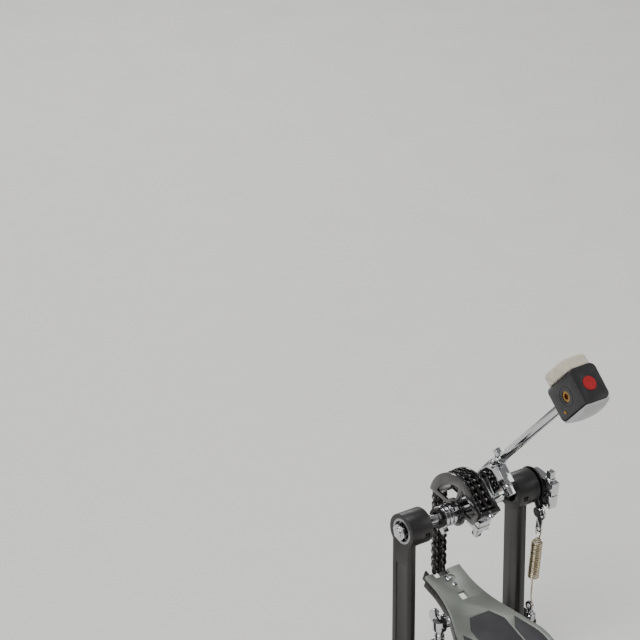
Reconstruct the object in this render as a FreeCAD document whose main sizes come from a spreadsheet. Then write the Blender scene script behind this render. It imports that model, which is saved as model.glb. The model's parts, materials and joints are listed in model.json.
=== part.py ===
"""Bass drum pedal: posts, hex axle, chain drive, beater, return spring, footboard and hoop clamp.

+X is the player's right, +Y points forward to the drum, +Z is up.  The origin lies on the floor
under the middle of the axle.  Lengths are in millimetres, angles in degrees.
"""
import FreeCAD, Part
import Sketcher
import math
import os

V = FreeCAD.Vector
doc = FreeCAD.newDocument("bass_drum_pedal")
sheet = doc.addObject("Spreadsheet::Sheet", "size")

DIMENSIONS = [
    ("axle_height", 190.0, "axle above the floor"),
    ("lean", 44.0, "beater shaft's lean towards the player at rest"),
    ("hub_radius", 15.0, "round head of a post"),
    ("hub_inner", 46.5, "inner face of each hub from the middle"),
    ("hub_outer", 67.5, "outer face of each hub from the middle"),
    ("post_width", 8.0, "left post along the axle"),
    ("post_depth", 22.0, "left post front to back"),
    ("bearing_outer", 11.0, "bearing's outer radius"),
    ("bearing_width", 7.0, "bearing along the axle"),
    ("journal", 4.0, "axle's round ends, radius"),
    ("hex_across", 9.5, "axle's hexagon across its flats"),
    ("pitch", 6.35, "chain pitch"),
    ("pitch_radius", 30.37, "chain's pitch line on the wheel: 12 degrees per link"),
    ("chain_middle", -3.0, "chain's middle plane"),
    ("flange_radius", 33.5, "drive wheel's flanges"),
    ("flange_flat", 31.0, "flat of the flanges, from the axle"),
    ("bed_radius", 25.6, "metal bed under the chain's strip"),
    ("bed_flat", 25.05, "straight run of the bed, from the axle"),
    ("chain_end_up", 29.6, "chain's pins along the straight run, from the axle"),
    ("strip_thick", 1.0, "felt strip on the bed"),
    ("shaft_side", 12.5, "beater shaft's plane along the axle"),
    ("shaft_offset", 16.5, "beater shaft forward of the axle"),
    ("shaft_radius", 4.0, "beater shaft"),
    ("head_up", 190.0, "head's middle along the shaft from the axle"),
    ("head_width", 26.0, "head along the axle"),
    ("head_deep", 31.0, "head in the striking direction"),
    ("head_tall", 37.0, "head along the shaft"),
    ("felt_thick", 12.0, "felt face"),
    ("rear_thick", 5.5, "hard rear face"),
    ("heel_back", 183.6, "heel hinge behind the axle"),
    ("heel_height", 24.0, "heel hinge above the floor"),
    ("board_pitch", 22.5, "footboard's slope"),
    ("board_length", 233.0, "heel hinge to toe edge"),
    ("board_top", 7.0, "top of the footboard over the hinge line"),
    ("plate_thick", 3.0, "aluminium top plate"),
    ("skirt_deep", 9.0, "black frame under the plate"),
    ("anchor_side", 68.7, "spring's plane along the axle"),
    ("anchor_forward", -3.5, "spring's lower eye forward of the axle"),
    ("anchor_down", 113.0, "spring's lower eye below the axle"),
    ("spring_tilt", 6.73, "spring's lean towards the player"),
    ("spring_reach", 92.99, "lower eye to the link's eye"),
    ("coil_radius", 4.9, "spring coil's outer radius"),
    ("base_half", 40.0, "half width of the base plate"),
    ("base_back", 240.0, "rear edge of the base plate"),
    ("base_front", 34.0, "front edge of the base plate"),
    ("mat_thick", 4.0, "rubber mat"),
    ("base_thick", 5.0, "steel base plate"),
    ("casting_top", 20.0, "top of the front casting"),
    ("jaw_pin_forward", 28.0, "clamp jaw's pin forward of the axle"),
    ("jaw_pin_height", 33.0, "clamp jaw's pin above the floor"),
    ("wing_side", -36.0, "wing bolt along the axle"),
    ("wing_back", 12.0, "wing bolt behind the axle"),
    ("wing_top", 110.0, "top of the wing bolt"),
]
for row, (alias, value, remark) in enumerate(DIMENSIONS, start=1):
    sheet.set("A%d" % row, str(value))
    sheet.setAlias("A%d" % row, alias)
    sheet.set("B%d" % row, remark)
doc.recompute()


def value(alias):
    """A driving dimension as a number."""
    return float(sheet.get(alias))


# ---------------------------------------------------------------- helpers

def solid(kind, name, at, turn, sizes):
    """A Part primitive with its sizes and its place bound to the sheet."""
    item = doc.addObject("Part::" + kind, name)
    for key, text in sizes.items():
        item.setExpression(key, str(text))
    item.Placement = FreeCAD.Placement(V(), turn)
    for letter, text in zip("xyz", at):
        item.setExpression("Placement.Base." + letter, str(text))
    return item


def block(name, xs, ys, zs):
    """A box between two faces along each axis."""
    sizes = {key: "(%s) - (%s)" % (pair[1], pair[0])
             for key, pair in zip(("Length", "Width", "Height"), (xs, ys, zs))}
    return solid("Box", name, (xs[0], ys[0], zs[0]), FreeCAD.Rotation(), sizes)


def rod_x(name, radius, xs, y=0, z=0):
    """A cylinder along X."""
    sizes = {"Radius": radius, "Height": "(%s) - (%s)" % (xs[1], xs[0])}
    return solid("Cylinder", name, (xs[0], y, z), FreeCAD.Rotation(V(0, 1, 0), 90), sizes)


def rod_y(name, radius, x, ys, z=0):
    """A cylinder along Y."""
    sizes = {"Radius": radius, "Height": "(%s) - (%s)" % (ys[1], ys[0])}
    return solid("Cylinder", name, (x, ys[0], z), FreeCAD.Rotation(V(1, 0, 0), -90), sizes)


def rod_z(name, radius, x, y, zs):
    """A cylinder along Z."""
    sizes = {"Radius": radius, "Height": "(%s) - (%s)" % (zs[1], zs[0])}
    return solid("Cylinder", name, (x, y, zs[0]), FreeCAD.Rotation(), sizes)


def fuse(name, *items):
    """Several solids joined into one."""
    joined = doc.addObject("Part::MultiFuse", name)
    joined.Shapes = list(items)
    joined.Refine = True
    return joined


def cut(name, base, *tools):
    """A solid less one tool or several."""
    result = doc.addObject("Part::Cut", name)
    result.Base = base
    result.Tool = tools[0] if len(tools) == 1 else fuse(name + "_tools", *tools)
    result.Refine = True
    return result


def common(name, *items):
    """What several solids share."""
    shared = doc.addObject("Part::MultiCommon", name)
    shared.Shapes = list(items)
    return shared


def rounded(name, base, radius, choose):
    """A solid with a fillet on the edges that choose picks by their middle and direction."""
    doc.recompute()
    fillet = doc.addObject("Part::Fillet", name)
    fillet.Base = base
    picked = []
    for number, edge in enumerate(base.Shape.Edges, start=1):
        middle = edge.valueAt((edge.FirstParameter + edge.LastParameter) / 2)
        along = edge.Vertexes[-1].Point - edge.Vertexes[0].Point
        if choose(middle, along):
            picked.append((number, radius, radius))
    fillet.Edges = picked
    return fillet


def group(name, *items):
    """Separate solids kept as one sub-part."""
    held = doc.addObject("Part::Compound", name)
    held.Links = list(items)
    return held


sub_parts = []


def sub_part(item, label, place=None):
    """Name a finished sub-part, and set it in its place."""
    item.Label = label
    if place is not None:
        item.Placement = place
    sub_parts.append(item)
    return item


def made(shape, label, place=None):
    """A sub-part whose shape is worked out with Part's own functions."""
    item = doc.addObject("Part::Feature", label)
    item.Shape = shape.Solids[0] if len(shape.Solids) == 1 else shape
    return sub_part(item, label, place)


# The drive turns as one piece.  It is drawn with the beater upright, +Z up the shaft and +Y
# towards the drum, about the axle, and then leans back.
AXLE = FreeCAD.Placement(V(0, 0, value("axle_height")),
                         FreeCAD.Rotation(V(1, 0, 0), value("lean")))
# The footboard is drawn level about its hinge, +Y towards the toe.
BOARD = FreeCAD.Placement(V(0, -value("heel_back"), value("heel_height")),
                          FreeCAD.Rotation(V(1, 0, 0), value("board_pitch")))
# The spring is drawn upright about its lower eye.
SPRING = FreeCAD.Placement(V(value("anchor_side"), value("anchor_forward"),
                             value("axle_height") - value("anchor_down")),
                           FreeCAD.Rotation(V(1, 0, 0), value("spring_tilt")))


# ---------------------------------------------------------------- base and posts

def make_base():
    """Rubber mat, steel plate and its screws."""
    width = ("-size.base_half", "size.base_half")
    length = ("-size.base_back", "size.base_front")
    mat = block("mat_slab", width, length, (0, "size.mat_thick"))
    sub_part(group("rubber_mat", mat), "rubber_mat")
    plate = block("plate_slab", width, length, ("size.mat_thick", "size.mat_thick + size.base_thick"))
    window = block("plate_window", (-22, 22), (-150, -40), (0, 20))
    sub_part(cut("base_plate", plate, window), "base_plate")


def make_casting():
    """The front casting: foot of both posts, lip for the hoop and ears for the jaw's pin."""
    low = "size.mat_thick + size.base_thick"
    pieces = [
        block("bridge", (-69.5, 60.5), (-16, 16), (low, "size.casting_top")),
        block("front_shelf", (-52, 31), (16, 36), (low, 16)),
        block("hoop_lip", (-26, 26), (35, 64), (low, 13)),
        block("left_lug", (-69.5, -53), (15, 36), (low, "size.casting_top")),
        block("right_lug", (40, 60.5), (15, 36), (low, "size.casting_top")),
        block("left_tongue", (-59.3, -53), (-10, 10), (19, 52)),
        block("right_tongue", (42, 49.8), (-9, 9), (19, 52)),
    ]
    for side, xs in (("left", (-52, -47)), ("right", (26, 31))):
        pieces.append(block(side + "_ear", xs, (20, 36), (15, "size.jaw_pin_height")))
        pieces.append(rod_x(side + "_ear_top", 8, xs, "size.jaw_pin_forward", "size.jaw_pin_height"))
    holes = [rod_x("jaw_pin_hole", 3, (-60, 40), "size.jaw_pin_forward", "size.jaw_pin_height")]
    for side, x in (("left", -61), ("right", 50)):
        holes.append(rod_z(side + "_spur_hole", 4.05, x, 27, (0, 40)))
    for side, xs in (("left", (-80, -56)), ("right", (46, 62))):
        for z in (30, 42):
            holes.append(rod_x("%s_tongue_hole_%d" % (side, z), 2, xs, 0, z))
    sub_part(cut("front_casting", fuse("casting_body", *pieces), *holes), "front_casting")


def make_post(side, column_x, depth, bearing_x, hub_x):
    """A cast post: round hub over a rectangular column, bored for its bearing."""
    column = block(side + "_column", column_x, ("-(%s) / 2" % depth, "(%s) / 2" % depth),
                   ("size.casting_top", "size.axle_height"))
    column = rounded(side + "_column_round", column, 3.2,
                     lambda middle, along: abs(along.z) > 100 and middle.y < 0)
    hub = rod_x(side + "_hub", "size.hub_radius", hub_x, 0, "size.axle_height")
    inward = 1 if side == "left" else -1
    screw_x = inward * (-value("hub_inner") - 5.6)
    tools = [
        rod_x(side + "_bearing_seat", "size.bearing_outer", bearing_x, 0, "size.axle_height"),
        rod_x(side + "_hub_bore", 8, hub_x, 0, "size.axle_height"),
        block(side + "_screw_flat", (screw_x - 2.4, screw_x + 2.4), (-16, -13.4),
              ("size.axle_height - 4.8", "size.axle_height")),
        rod_y(side + "_screw_hole", 1.3, screw_x, (-15, -7), "size.axle_height - 2.4"),
    ]
    for z in (30, 42):
        tools.append(rod_x("%s_foot_hole_%d" % (side, z), 2, (-80, 80), 0, z))
    if side == "left":
        tools.append(block("left_panel", (-70, -66.9), (-6.5, 6.5), (70, 160)))
    name = side + "_post"
    sub_part(cut(name, fuse(name + "_body", column, hub), *tools), name)


def make_post_screws():
    """Button-head screws that hold the posts on the casting's tongues, and hub set screws."""
    screws = []
    for side, head_x, shank_x in (("left", (-69.9, -67.55), (-67.6, -56)),
                                  ("right", (58.75, 61.1), (46, 58.8))):
        for z in (30, 42):
            tag = "%s_%d" % (side, z)
            head = rod_x("foot_head_" + tag, 3.8, head_x, 0, z)
            shank = rod_x("foot_shank_" + tag, 1.95, shank_x, 0, z)
            edge = 0.6 if side == "left" else -0.6
            far = head_x[0] if side == "left" else head_x[1]
            socket = rod_x("foot_socket_" + tag, 1.6, sorted((far - edge, far + 2 * edge)), 0, z)
            screws.append(cut("foot_screw_" + tag, fuse("foot_body_" + tag, head, shank), socket))
    sub_part(group("post_bolts", *screws), "post_bolts")
    grubs = []
    for side, sign in (("left", -1), ("right", 1)):
        x = sign * (value("hub_inner") + 5.6)
        grub = rod_y(side + "_grub", 1.2, x, (-13.0, -8.5), "size.axle_height - 2.4")
        key = rod_y(side + "_grub_key", 0.7, x, (-13.5, -12.0), "size.axle_height - 2.4")
        grubs.append(cut(side + "_grub_screw", grub, key))
    sub_part(group("hub_set_screws", *grubs), "hub_set_screws")


def make_bearings():
    """Two ball bearings: outer rings stay in the hubs, inner rings and balls go with the axle."""
    outers, inners, balls = [], [], []
    for side, xs in (("left", (-67.4, -60.4)), ("right", (60.4, 67.4))):
        outer = rod_x(side + "_outer_disc", "size.bearing_outer", xs, 0, "size.axle_height")
        bore = rod_x(side + "_outer_bore", 9, xs, 0, "size.axle_height")
        outers.append(cut(side + "_outer_ring", outer, bore))
        inner = rod_x(side + "_inner_disc", 6, xs)
        eye = rod_x(side + "_inner_bore", "size.journal", xs)
        inners.append(cut(side + "_inner_ring", inner, eye))
        for number in range(7):
            angle = math.radians(360 * number / 7)
            ball = solid("Sphere", "%s_ball_%d" % (side, number),
                         (sum(xs) / 2, 7.5 * math.cos(angle), 7.5 * math.sin(angle)),
                         FreeCAD.Rotation(), {"Radius": 1.45})
            balls.append(ball)
    sub_part(group("bearing_outer_rings", *outers), "bearing_outer_rings")
    sub_part(group("bearing_inner_rings", *inners), "bearing_inner_rings", AXLE)
    sub_part(group("bearing_balls", *balls), "bearing_balls", AXLE)


# ---------------------------------------------------------------- axle and drive wheel

def make_axle():
    """Hexagon bar with turned journals, made as one body from a hexagon pad and two round pads."""
    body = doc.addObject("PartDesign::Body", "hex_axle")
    plane = [f for f in body.Origin.OriginFeatures if f.Role == "YZ_Plane"][0]
    spans = (("hexagon", True, -60.2, 60.2), ("left_journal", False, -72.5, -59.0),
             ("right_journal", False, 59.0, 76.5))
    for name, hexagonal, low, high in spans:
        sketch = body.newObject("Sketcher::SketchObject", name + "_sketch")
        sketch.AttachmentSupport = [(plane, "")]
        sketch.MapMode = "FlatFace"
        sketch.AttachmentOffset = FreeCAD.Placement(V(0, 0, low), FreeCAD.Rotation())
        if hexagonal:
            corner = value("hex_across") / math.sqrt(3)
            ring = [V(corner * math.cos(math.radians(60 * k)), corner * math.sin(math.radians(60 * k)), 0)
                    for k in range(7)]
            for start, end in zip(ring, ring[1:]):
                sketch.addGeometry(Part.LineSegment(start, end), False)
        else:
            circle = sketch.addGeometry(Part.Circle(V(), V(0, 0, 1), value("journal")), False)
            sketch.addConstraint(Sketcher.Constraint("Radius", circle, value("journal")))
            sketch.setExpression("Constraints[0]", "size.journal")
        pad = body.newObject("PartDesign::Pad", name)
        pad.Profile = sketch
        pad.Length = high - low
        doc.recompute()
    sub_part(body, "hex_axle", AXLE)


def make_axle_fittings():
    """Nut on the left end, black spacer, clamp collar and its screw."""
    nut_hex = solid("Prism", "nut_hex", (-70.6, 0, 0), FreeCAD.Rotation(V(0, 1, 0), 90),
                    {"Polygon": 6, "Circumradius": 7.4, "Height": 3})
    nut_dome = solid("Cone", "nut_dome", (-67.65, 0, 0), FreeCAD.Rotation(V(0, 1, 0), -90),
                     {"Radius1": 6.2, "Radius2": 5.6, "Height": 3.6})
    hole = rod_x("nut_hole", "size.journal", (-75, -60))
    sub_part(cut("axle_nut", fuse("nut_body", nut_hex, nut_dome), hole), "axle_nut", AXLE)
    spacer = rod_x("spacer_disc", 8.6, (-31.5, -28))
    spacer_hole = rod_x("spacer_hole", 5.6, (-40, -20))
    sub_part(cut("axle_spacer", spacer, spacer_hole), "axle_spacer", AXLE)
    ribs = [rod_x("collar_rib_%d" % n, 9.4, (-27.4 + 4.1 * n, -24.9 + 4.1 * n)) for n in range(3)]
    barrel = rod_x("collar_barrel", 8.2, (-27.6, -14))
    lug = block("collar_lug", (-25, -18), (-6, 3), (-15, -6))
    collar_hole = rod_x("collar_hole", 5.6, (-40, 0))
    screw_hole = rod_y("collar_screw_hole", 2.05, -21.5, (-20, 20), -11)
    sub_part(cut("clamp_collar", fuse("collar_body", barrel, lug, *ribs), collar_hole, screw_hole),
             "clamp_collar", AXLE)
    shank = rod_y("collar_screw_shank", 2, -21.5, (-7, 3), -11)
    head = block("collar_screw_head", (-24, -19), (-11.5, -6.05), (-13.5, -8.5))
    sub_part(fuse("collar_screw", shank, head), "collar_screw", AXLE)


def wheel_outline(name, xs, radius, flat, drop, front):
    """A disc slab with a straight run tangent to it, cut off square at the run's front end and
    below the line from its two ends."""
    wide = "(%s) - (%s)" % (xs[1], xs[0])
    disc = rod_x(name + "_disc", radius, xs)
    run = block(name + "_run", xs, ("-" + str(front), 0), (0, flat))
    whole = fuse(name + "_whole", disc, run)
    keep = solid("Box", name + "_keep", (xs[0], 0, -60), FreeCAD.Rotation(),
                 {"Length": wide, "Width": "60 + (%s)" % front, "Height": "60 + (%s)" % flat})
    keep.setExpression("Placement.Base.y", "-(%s)" % front)
    low = solid("Box", name + "_low", (xs[0], 0, 0), FreeCAD.Rotation(),
                {"Length": wide, "Width": 160, "Height": 80})
    turn = FreeCAD.Rotation(V(1, 0, 0), 11.5 - value("lean"))
    corner = turn.multVec(V(0, -80, drop - 80))
    for letter in "xyz":
        low.setExpression("Placement.Base." + letter, None)
    low.Placement = FreeCAD.Placement(V(xs[0], corner.y, corner.z), turn)
    return cut(name, common(name + "_flat", whole, keep), low)


def tipped(item):
    """Turns an item about the axle so that the wheel's clamp stands nearer to upright."""
    held = group(item.Label + "_tipped", item)
    held.Placement = FreeCAD.Placement(V(), FreeCAD.Rotation(V(1, 0, 0), -24))
    return held


def make_drive_wheel():
    """Two spoked flanges, bed ring, hub, beater-side cheek and the bar across the chain's end."""
    parts = []
    for side, xs in (("left", (-12, -10.3)), ("middle", (4.3, 6.1))):
        plate = wheel_outline(side + "_plate", xs, "size.flange_radius", "size.flange_flat", 2, 18.4)
        inner = wheel_outline(side + "_inner", xs, 25.4, 23.6, 6, 12.5)
        spokes = [rod_x(side + "_boss", 12, xs)]
        for number, angle in enumerate((-28, 12, 52, 92)):
            spoke = block("%s_spoke_%d" % (side, number), xs, (-2.2, 2.2), (0, 30))
            turn = FreeCAD.Rotation(V(1, 0, 0), angle)
            base = turn.multVec(V(0, -2.2, 0))
            for letter in "xyz":
                spoke.setExpression("Placement.Base." + letter, None)
            spoke.Placement = FreeCAD.Placement(V(xs[0], base.y, base.z), turn)
            spokes.append(spoke)
        window = cut(side + "_window", inner, *spokes)
        parts += [cut(side + "_flange", plate, window), rod_x(side + "_hub_disc", 12, xs)]
    bed = wheel_outline("bed_slab", (-10.5, 4.5), "size.bed_radius", "size.bed_flat", 3, 15.2)
    bed_inner = wheel_outline("bed_inner", (-11, 5), 23.0, 22.4, -30, 40)
    parts.append(cut("bed", bed, bed_inner))
    parts.append(rod_x("wheel_hub", 9.5, (-13.6, 14)))
    cheek_disc = wheel_outline("cheek_slab", (6.0, 7.9), "size.flange_radius", "size.flange_flat", 2, 18.4)
    cheek_keep = block("cheek_keep", (6, 8), (-40, 12), (-5, 40))
    parts.append(common("cheek", cheek_disc, cheek_keep))
    parts.append(block("end_bar", (-12, 7.9), (-18.4, -15.0), (22.4, 31.6)))
    parts.append(tipped(block("clamp_block", (1.5, 13.5), (-18.5, -4), (-13, -2))))
    cornered = FreeCAD.Rotation(V(1, 0, 0), 90).multiply(FreeCAD.Rotation(V(0, 1, 0), 90))
    hex_hole = solid("Prism", "wheel_hex_hole", (-20, 0, 0), cornered,
                     {"Polygon": 6, "Circumradius": "size.hex_across / 1.7320508 + 0.02", "Height": 50})
    bolt_hole = tipped(rod_z("wheel_bolt_hole", 2.55, 7.5, -13, (-30, -1)))
    end_hole = rod_y("chain_end_hole", 1.55, 0, (-40, -5), "size.chain_end_up")
    end_hole.setExpression("Placement.Base.x", "size.chain_middle")
    body = fuse("wheel_body", *parts)
    sub_part(cut("drive_wheel", body, hex_hole, bolt_hole, end_hole), "drive_wheel", AXLE)

    strip = wheel_outline("strip_slab", (-9.9, 3.9), "size.bed_radius + size.strip_thick",
                          "size.bed_flat + size.strip_thick", 4, 14.95)
    strip_inner = wheel_outline("strip_inner", (-11, 5), "size.bed_radius + 0.02",
                                "size.bed_flat + 0.02", -30, 40)
    sub_part(cut("wheel_strip", strip, strip_inner), "wheel_strip", AXLE)

    shank = rod_z("wheel_bolt_shank", 2.5, 7.5, -13, (-15, -5))
    head = block("wheel_bolt_head", (4.7, 10.3), (-15.8, -10.2), (-22, -13.05))
    sub_part(fuse("wheel_clamp_bolt", tipped(shank), tipped(head)), "wheel_clamp_bolt", AXLE)


# ---------------------------------------------------------------- chain

STRAND_AT = 3.2
INNER_PLATES = [(side * STRAND_AT + low, side * STRAND_AT + low + 0.8)
                for side in (-1, 1) for low in (-2.15, 1.35)]
OUTER_PLATES = [(-6.3, -5.5), (-0.9, 0.9), (5.5, 6.3)]


def link_shape(start, end, inner):
    """One duplex link between two pin places in the Y-Z plane, given as vectors."""
    along = end - start
    middle = V(value("chain_middle"), 0, 0)
    pieces = []
    for low, high in (INNER_PLATES if inner else OUTER_PLATES):
        face = V(low, 0, 0) + middle
        across = V(0, -along.z, along.y).normalize() * 2.2
        corners = [start + across, end + across, end - across, start - across, start + across]
        waist = Part.Face(Part.makePolygon([c + face for c in corners]))
        plate = waist.extrude(V(high - low, 0, 0))
        for pin in (start, end):
            plate = plate.fuse(Part.makeCylinder(2.85, high - low, pin + face, V(1, 0, 0)))
        pieces.append(plate)
    if inner:
        for side in (-1, 1):
            low = side * STRAND_AT - 1.75
            for pin in (start, end):
                pieces.append(Part.makeCylinder(1.65, 3.5, pin + middle + V(low, 0, 0), V(1, 0, 0)))
    else:
        for pin in (start, end):
            pieces.append(Part.makeCylinder(1.15, 13.8, pin + middle + V(-6.9, 0, 0), V(1, 0, 0)))
    shape = pieces[0].multiFuse(pieces[1:])
    if inner:
        for pin in (start, end):
            shape = shape.cut(Part.makeCylinder(1.2, 16, pin + middle + V(-8, 0, 0), V(1, 0, 0)))
    return shape.removeSplitter()


def chain_pins():
    """Pin places from the hanging end up over the wheel to the chain's fixed end."""
    axle = V(0, 0, value("axle_height"))
    radius = value("pitch_radius")
    pitch = value("pitch")
    hanging = [axle + V(0, radius, -pitch * n) for n in range(11, 0, -1)]
    round_wheel = [axle + V(0, radius * math.cos(math.radians(a)), radius * math.sin(math.radians(a)))
                   for a in range(0, 97, 12)]
    pins = hanging + round_wheel
    flat_way = 180 + value("lean")
    for angle in (193, 206, 220, flat_way, flat_way):
        step = V(0, math.cos(math.radians(angle)), math.sin(math.radians(angle))) * pitch
        pins.append(pins[-1] + step)
    return pins


def make_chain():
    """The hanging strand, four links that leave the wheel one by one, and the part that stays."""
    pins = chain_pins()
    links = [link_shape(start, end, number % 2 == 0)
             for number, (start, end) in enumerate(zip(pins, pins[1:]))]
    made(Part.makeCompound(links[:11]), "chain_strand")
    for number in range(4):
        made(links[11 + number], "chain_link_%d" % (number + 1))
    made(Part.makeCompound(links[15:]), "chain_wrap")
    end = AXLE.inverse().multVec(pins[-1])
    side = value("chain_middle")
    shank = rod_y("chain_end_shank", 1.5, side, (-19, end.y - 3.1), "size.chain_end_up")
    head = rod_y("chain_end_head", 3.1, side, (-21.4, -18.45), "size.chain_end_up")
    slot = block("chain_end_slot", (side - 0.5, side + 0.5), (-22, -20.4), (20, 38))
    sub_part(cut("chain_end_screw", fuse("chain_end_body", shank, head), slot), "chain_end_screw", AXLE)


# ---------------------------------------------------------------- beater

def make_holder():
    """Chrome block beside the wheel: foot on the hub, bore for the shaft, clamp block in front."""
    side = "size.shaft_side"
    forward = "size.shaft_offset"
    body = block("holder_body", (side + " - 4.5", side + " + 6"), (2, "size.shaft_offset + 5"), (16, 46))
    body = rounded("holder_round", body, 4.0, lambda middle, along: abs(along.z) > 20 and middle.y > 15)
    foot = block("holder_foot", (side + " - 4.5", side + " + 6"), (-6, 11), (-4, 32))
    jaw = block("holder_jaw", (side + " - 4.5", side + " + 4.5"), (-4, 13), (30, 54))
    axle_hole = rod_x("holder_axle_hole", 9.55, (0, 40))
    shaft_hole = rod_z("holder_bore", "size.shaft_radius + 0.05", side, forward, (0, 90))
    bolt_hole = rod_y("holder_bolt_hole", 2.6, side, (-20, 11), 48)
    body_all = fuse("holder_all", body, foot, jaw)
    sub_part(cut("beater_holder", body_all, axle_hole, shaft_hole, bolt_hole), "beater_holder", AXLE)
    shank = rod_y("holder_bolt_shank", 2.5, side, (-6, 10), 48)
    collar = rod_y("holder_bolt_collar", 4.4, side, (-6.5, -4.05), 48)
    head = block("holder_bolt_head", (side + " - 2.8", side + " + 2.8"), (-13, -6), (45.2, 50.8))
    sub_part(fuse("holder_key_bolt", shank, collar, head), "holder_key_bolt", AXLE)


def make_beater():
    """Shaft with its memory lock; head with a felt face, a hard face, a side screw and a badge."""
    side = "size.shaft_side"
    forward = "size.shaft_offset"
    top = value("head_up") + value("head_tall") / 2
    bottom = value("head_up") - value("head_tall") / 2
    shaft = rod_z("shaft_bar", "size.shaft_radius", side, forward, (20, top - 6))
    shaft_end = solid("Cone", "shaft_end", (side, forward, 18), FreeCAD.Rotation(),
                      {"Radius1": 3, "Radius2": "size.shaft_radius", "Height": 2})
    sub_part(fuse("beater_shaft", shaft, shaft_end), "beater_shaft", AXLE)
    ring = rod_z("lock_ring", 5.4, side, forward, (55, 60))
    lug = block("lock_lug", (side + " - 2.4", side + " + 2.4"), (forward + " + 3", forward + " + 9"),
                (55, 60))
    ring_hole = rod_z("lock_hole", "size.shaft_radius + 0.02", side, forward, (40, 80))
    sub_part(cut("memory_lock", fuse("lock_body", ring, lug), ring_hole), "memory_lock", AXLE)

    half_wide = "size.head_width / 2"
    half_deep = "size.head_deep / 2"
    core = block("head_block", (side + " - " + half_wide, side + " + " + half_wide),
                 (forward + " - " + half_deep, forward + " + " + half_deep), (bottom, top))
    core = rounded("head_round", core, 5.0, lambda middle, along: abs(along.z) > 20)
    shaft_hole = rod_z("head_bore", "size.shaft_radius + 0.05", side, forward, (bottom - 5, top - 5))
    screw_x = value("shaft_side") - value("head_width") / 2
    screw_hole = rod_x("head_screw_hole", 4.6, (screw_x - 1, screw_x + 7), forward, value("head_up"))
    badge_x = value("shaft_side")
    recess = rod_z("badge_recess", 6.05, badge_x, forward, (top - 0.6, top + 1))
    sub_part(cut("beater_body", core, shaft_hole, screw_hole, recess), "beater_body", AXLE)
    ring_screw = rod_x("side_screw_disc", 4.5, (screw_x + 0.6, screw_x + 6), forward, value("head_up"))
    ring_key = rod_x("side_screw_key", 2.4, (screw_x, screw_x + 4), forward, value("head_up"))
    sub_part(cut("beater_side_screw", ring_screw, ring_key), "beater_side_screw", AXLE)
    disc = rod_z("badge_disc", 6.0, badge_x, forward, (top - 0.55, top + 0.35))
    sub_part(group("beater_badge", disc), "beater_badge", AXLE)

    front = value("shaft_offset") + value("head_deep") / 2
    rear = value("shaft_offset") - value("head_deep") / 2
    x_low = value("shaft_side") - value("head_width") / 2 + 0.6
    x_high = value("shaft_side") + value("head_width") / 2 - 0.6
    felt = block("felt_slab", (x_low, x_high), (front + 0.02, "%s + size.felt_thick" % front),
                 (bottom + 0.6, top - 0.6))
    felt = rounded("felt_round", felt, 4.0, lambda middle, along: middle.y > front + 2
                   or abs(along.y) > 5)
    sub_part(felt, "beater_felt", AXLE)
    dome = solid("Sphere", "dome_ball", (badge_x, rear + 42, value("head_up")), FreeCAD.Rotation(),
                 {"Radius": "42 + size.rear_thick"})
    slab = block("dome_slab", (x_low, x_high), (rear - 20, rear - 0.02), (bottom + 0.6, top - 0.6))
    sub_part(common("beater_rear_pad", dome, slab), "beater_rear_pad", AXLE)


# ---------------------------------------------------------------- return spring

def make_rocker():
    """Disc and arm on the axle's right end, split clamp outside it, its bolt and the spring pin."""
    disc = rod_x("rocker_plate", 15.5, (69.8, 71.4))
    arm = block("rocker_arm", (69.8, 71.4), (-4.5, 4.5), (-23.7, 0))
    arm.setExpression("Placement.Base.y", None)
    arm.setExpression("Placement.Base.z", None)
    turn = FreeCAD.Rotation(V(1, 0, 0), -32.5 - value("lean"))
    base = turn.multVec(V(0, -4.5, -23.7))
    arm.Placement = FreeCAD.Placement(V(69.8, base.y, base.z), turn)
    pin_at = turn.multVec(V(0, 0, -23.7))
    tip = rod_x("rocker_tip", 4.5, (69.8, 71.4), pin_at.y, pin_at.z)
    axle_hole = rod_x("rocker_hole", "size.journal", (60, 80))
    pin_hole = rod_x("rocker_pin_hole", 1.8, (60, 80), pin_at.y, pin_at.z)
    sub_part(cut("rocker_disc", fuse("rocker_all", disc, arm, tip), axle_hole, pin_hole),
             "rocker_disc", AXLE)
    pin = rod_x("pin_bar", 1.8, (67.4, 71.4), pin_at.y, pin_at.z)
    pin_head = rod_x("pin_head", 4.6, (66.0, 67.5), pin_at.y, pin_at.z)
    sub_part(fuse("spring_pin", pin, pin_head), "spring_pin", AXLE)

    tilt = FreeCAD.Rotation(V(1, 0, 0), 7.5 - value("lean"))
    clamp_place = FreeCAD.Placement(AXLE.Base, AXLE.Rotation.multiply(tilt))
    body = block("rocker_clamp_slab", (71.45, 79.0), (-24, 10), (-12, 12))
    body = rounded("rocker_clamp_round", body, 8.0, lambda middle, along: abs(along.x) > 5 and middle.y > 5)
    slit = block("rocker_clamp_slit", (70, 80), (-30, 0), (-0.6, 0.6))
    hole = rod_x("rocker_clamp_hole", "size.journal", (60, 90))
    bolt_hole = rod_z("rocker_bolt_hole", 2.55, 75.2, -16.5, (-20, 20))
    sub_part(cut("rocker_clamp", body, slit, hole, bolt_hole), "rocker_clamp", clamp_place)
    shank = rod_z("rocker_bolt_shank", 2.5, 75.2, -16.5, (-11, 14))
    collar = rod_z("rocker_bolt_collar", 4.2, 75.2, -16.5, (12.05, 14.2))
    head = block("rocker_bolt_head", (72.6, 77.8), (-19.1, -13.9), (14, 20.5))
    sub_part(fuse("rocker_key_bolt", shank, collar, head), "rocker_key_bolt", clamp_place)


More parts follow.
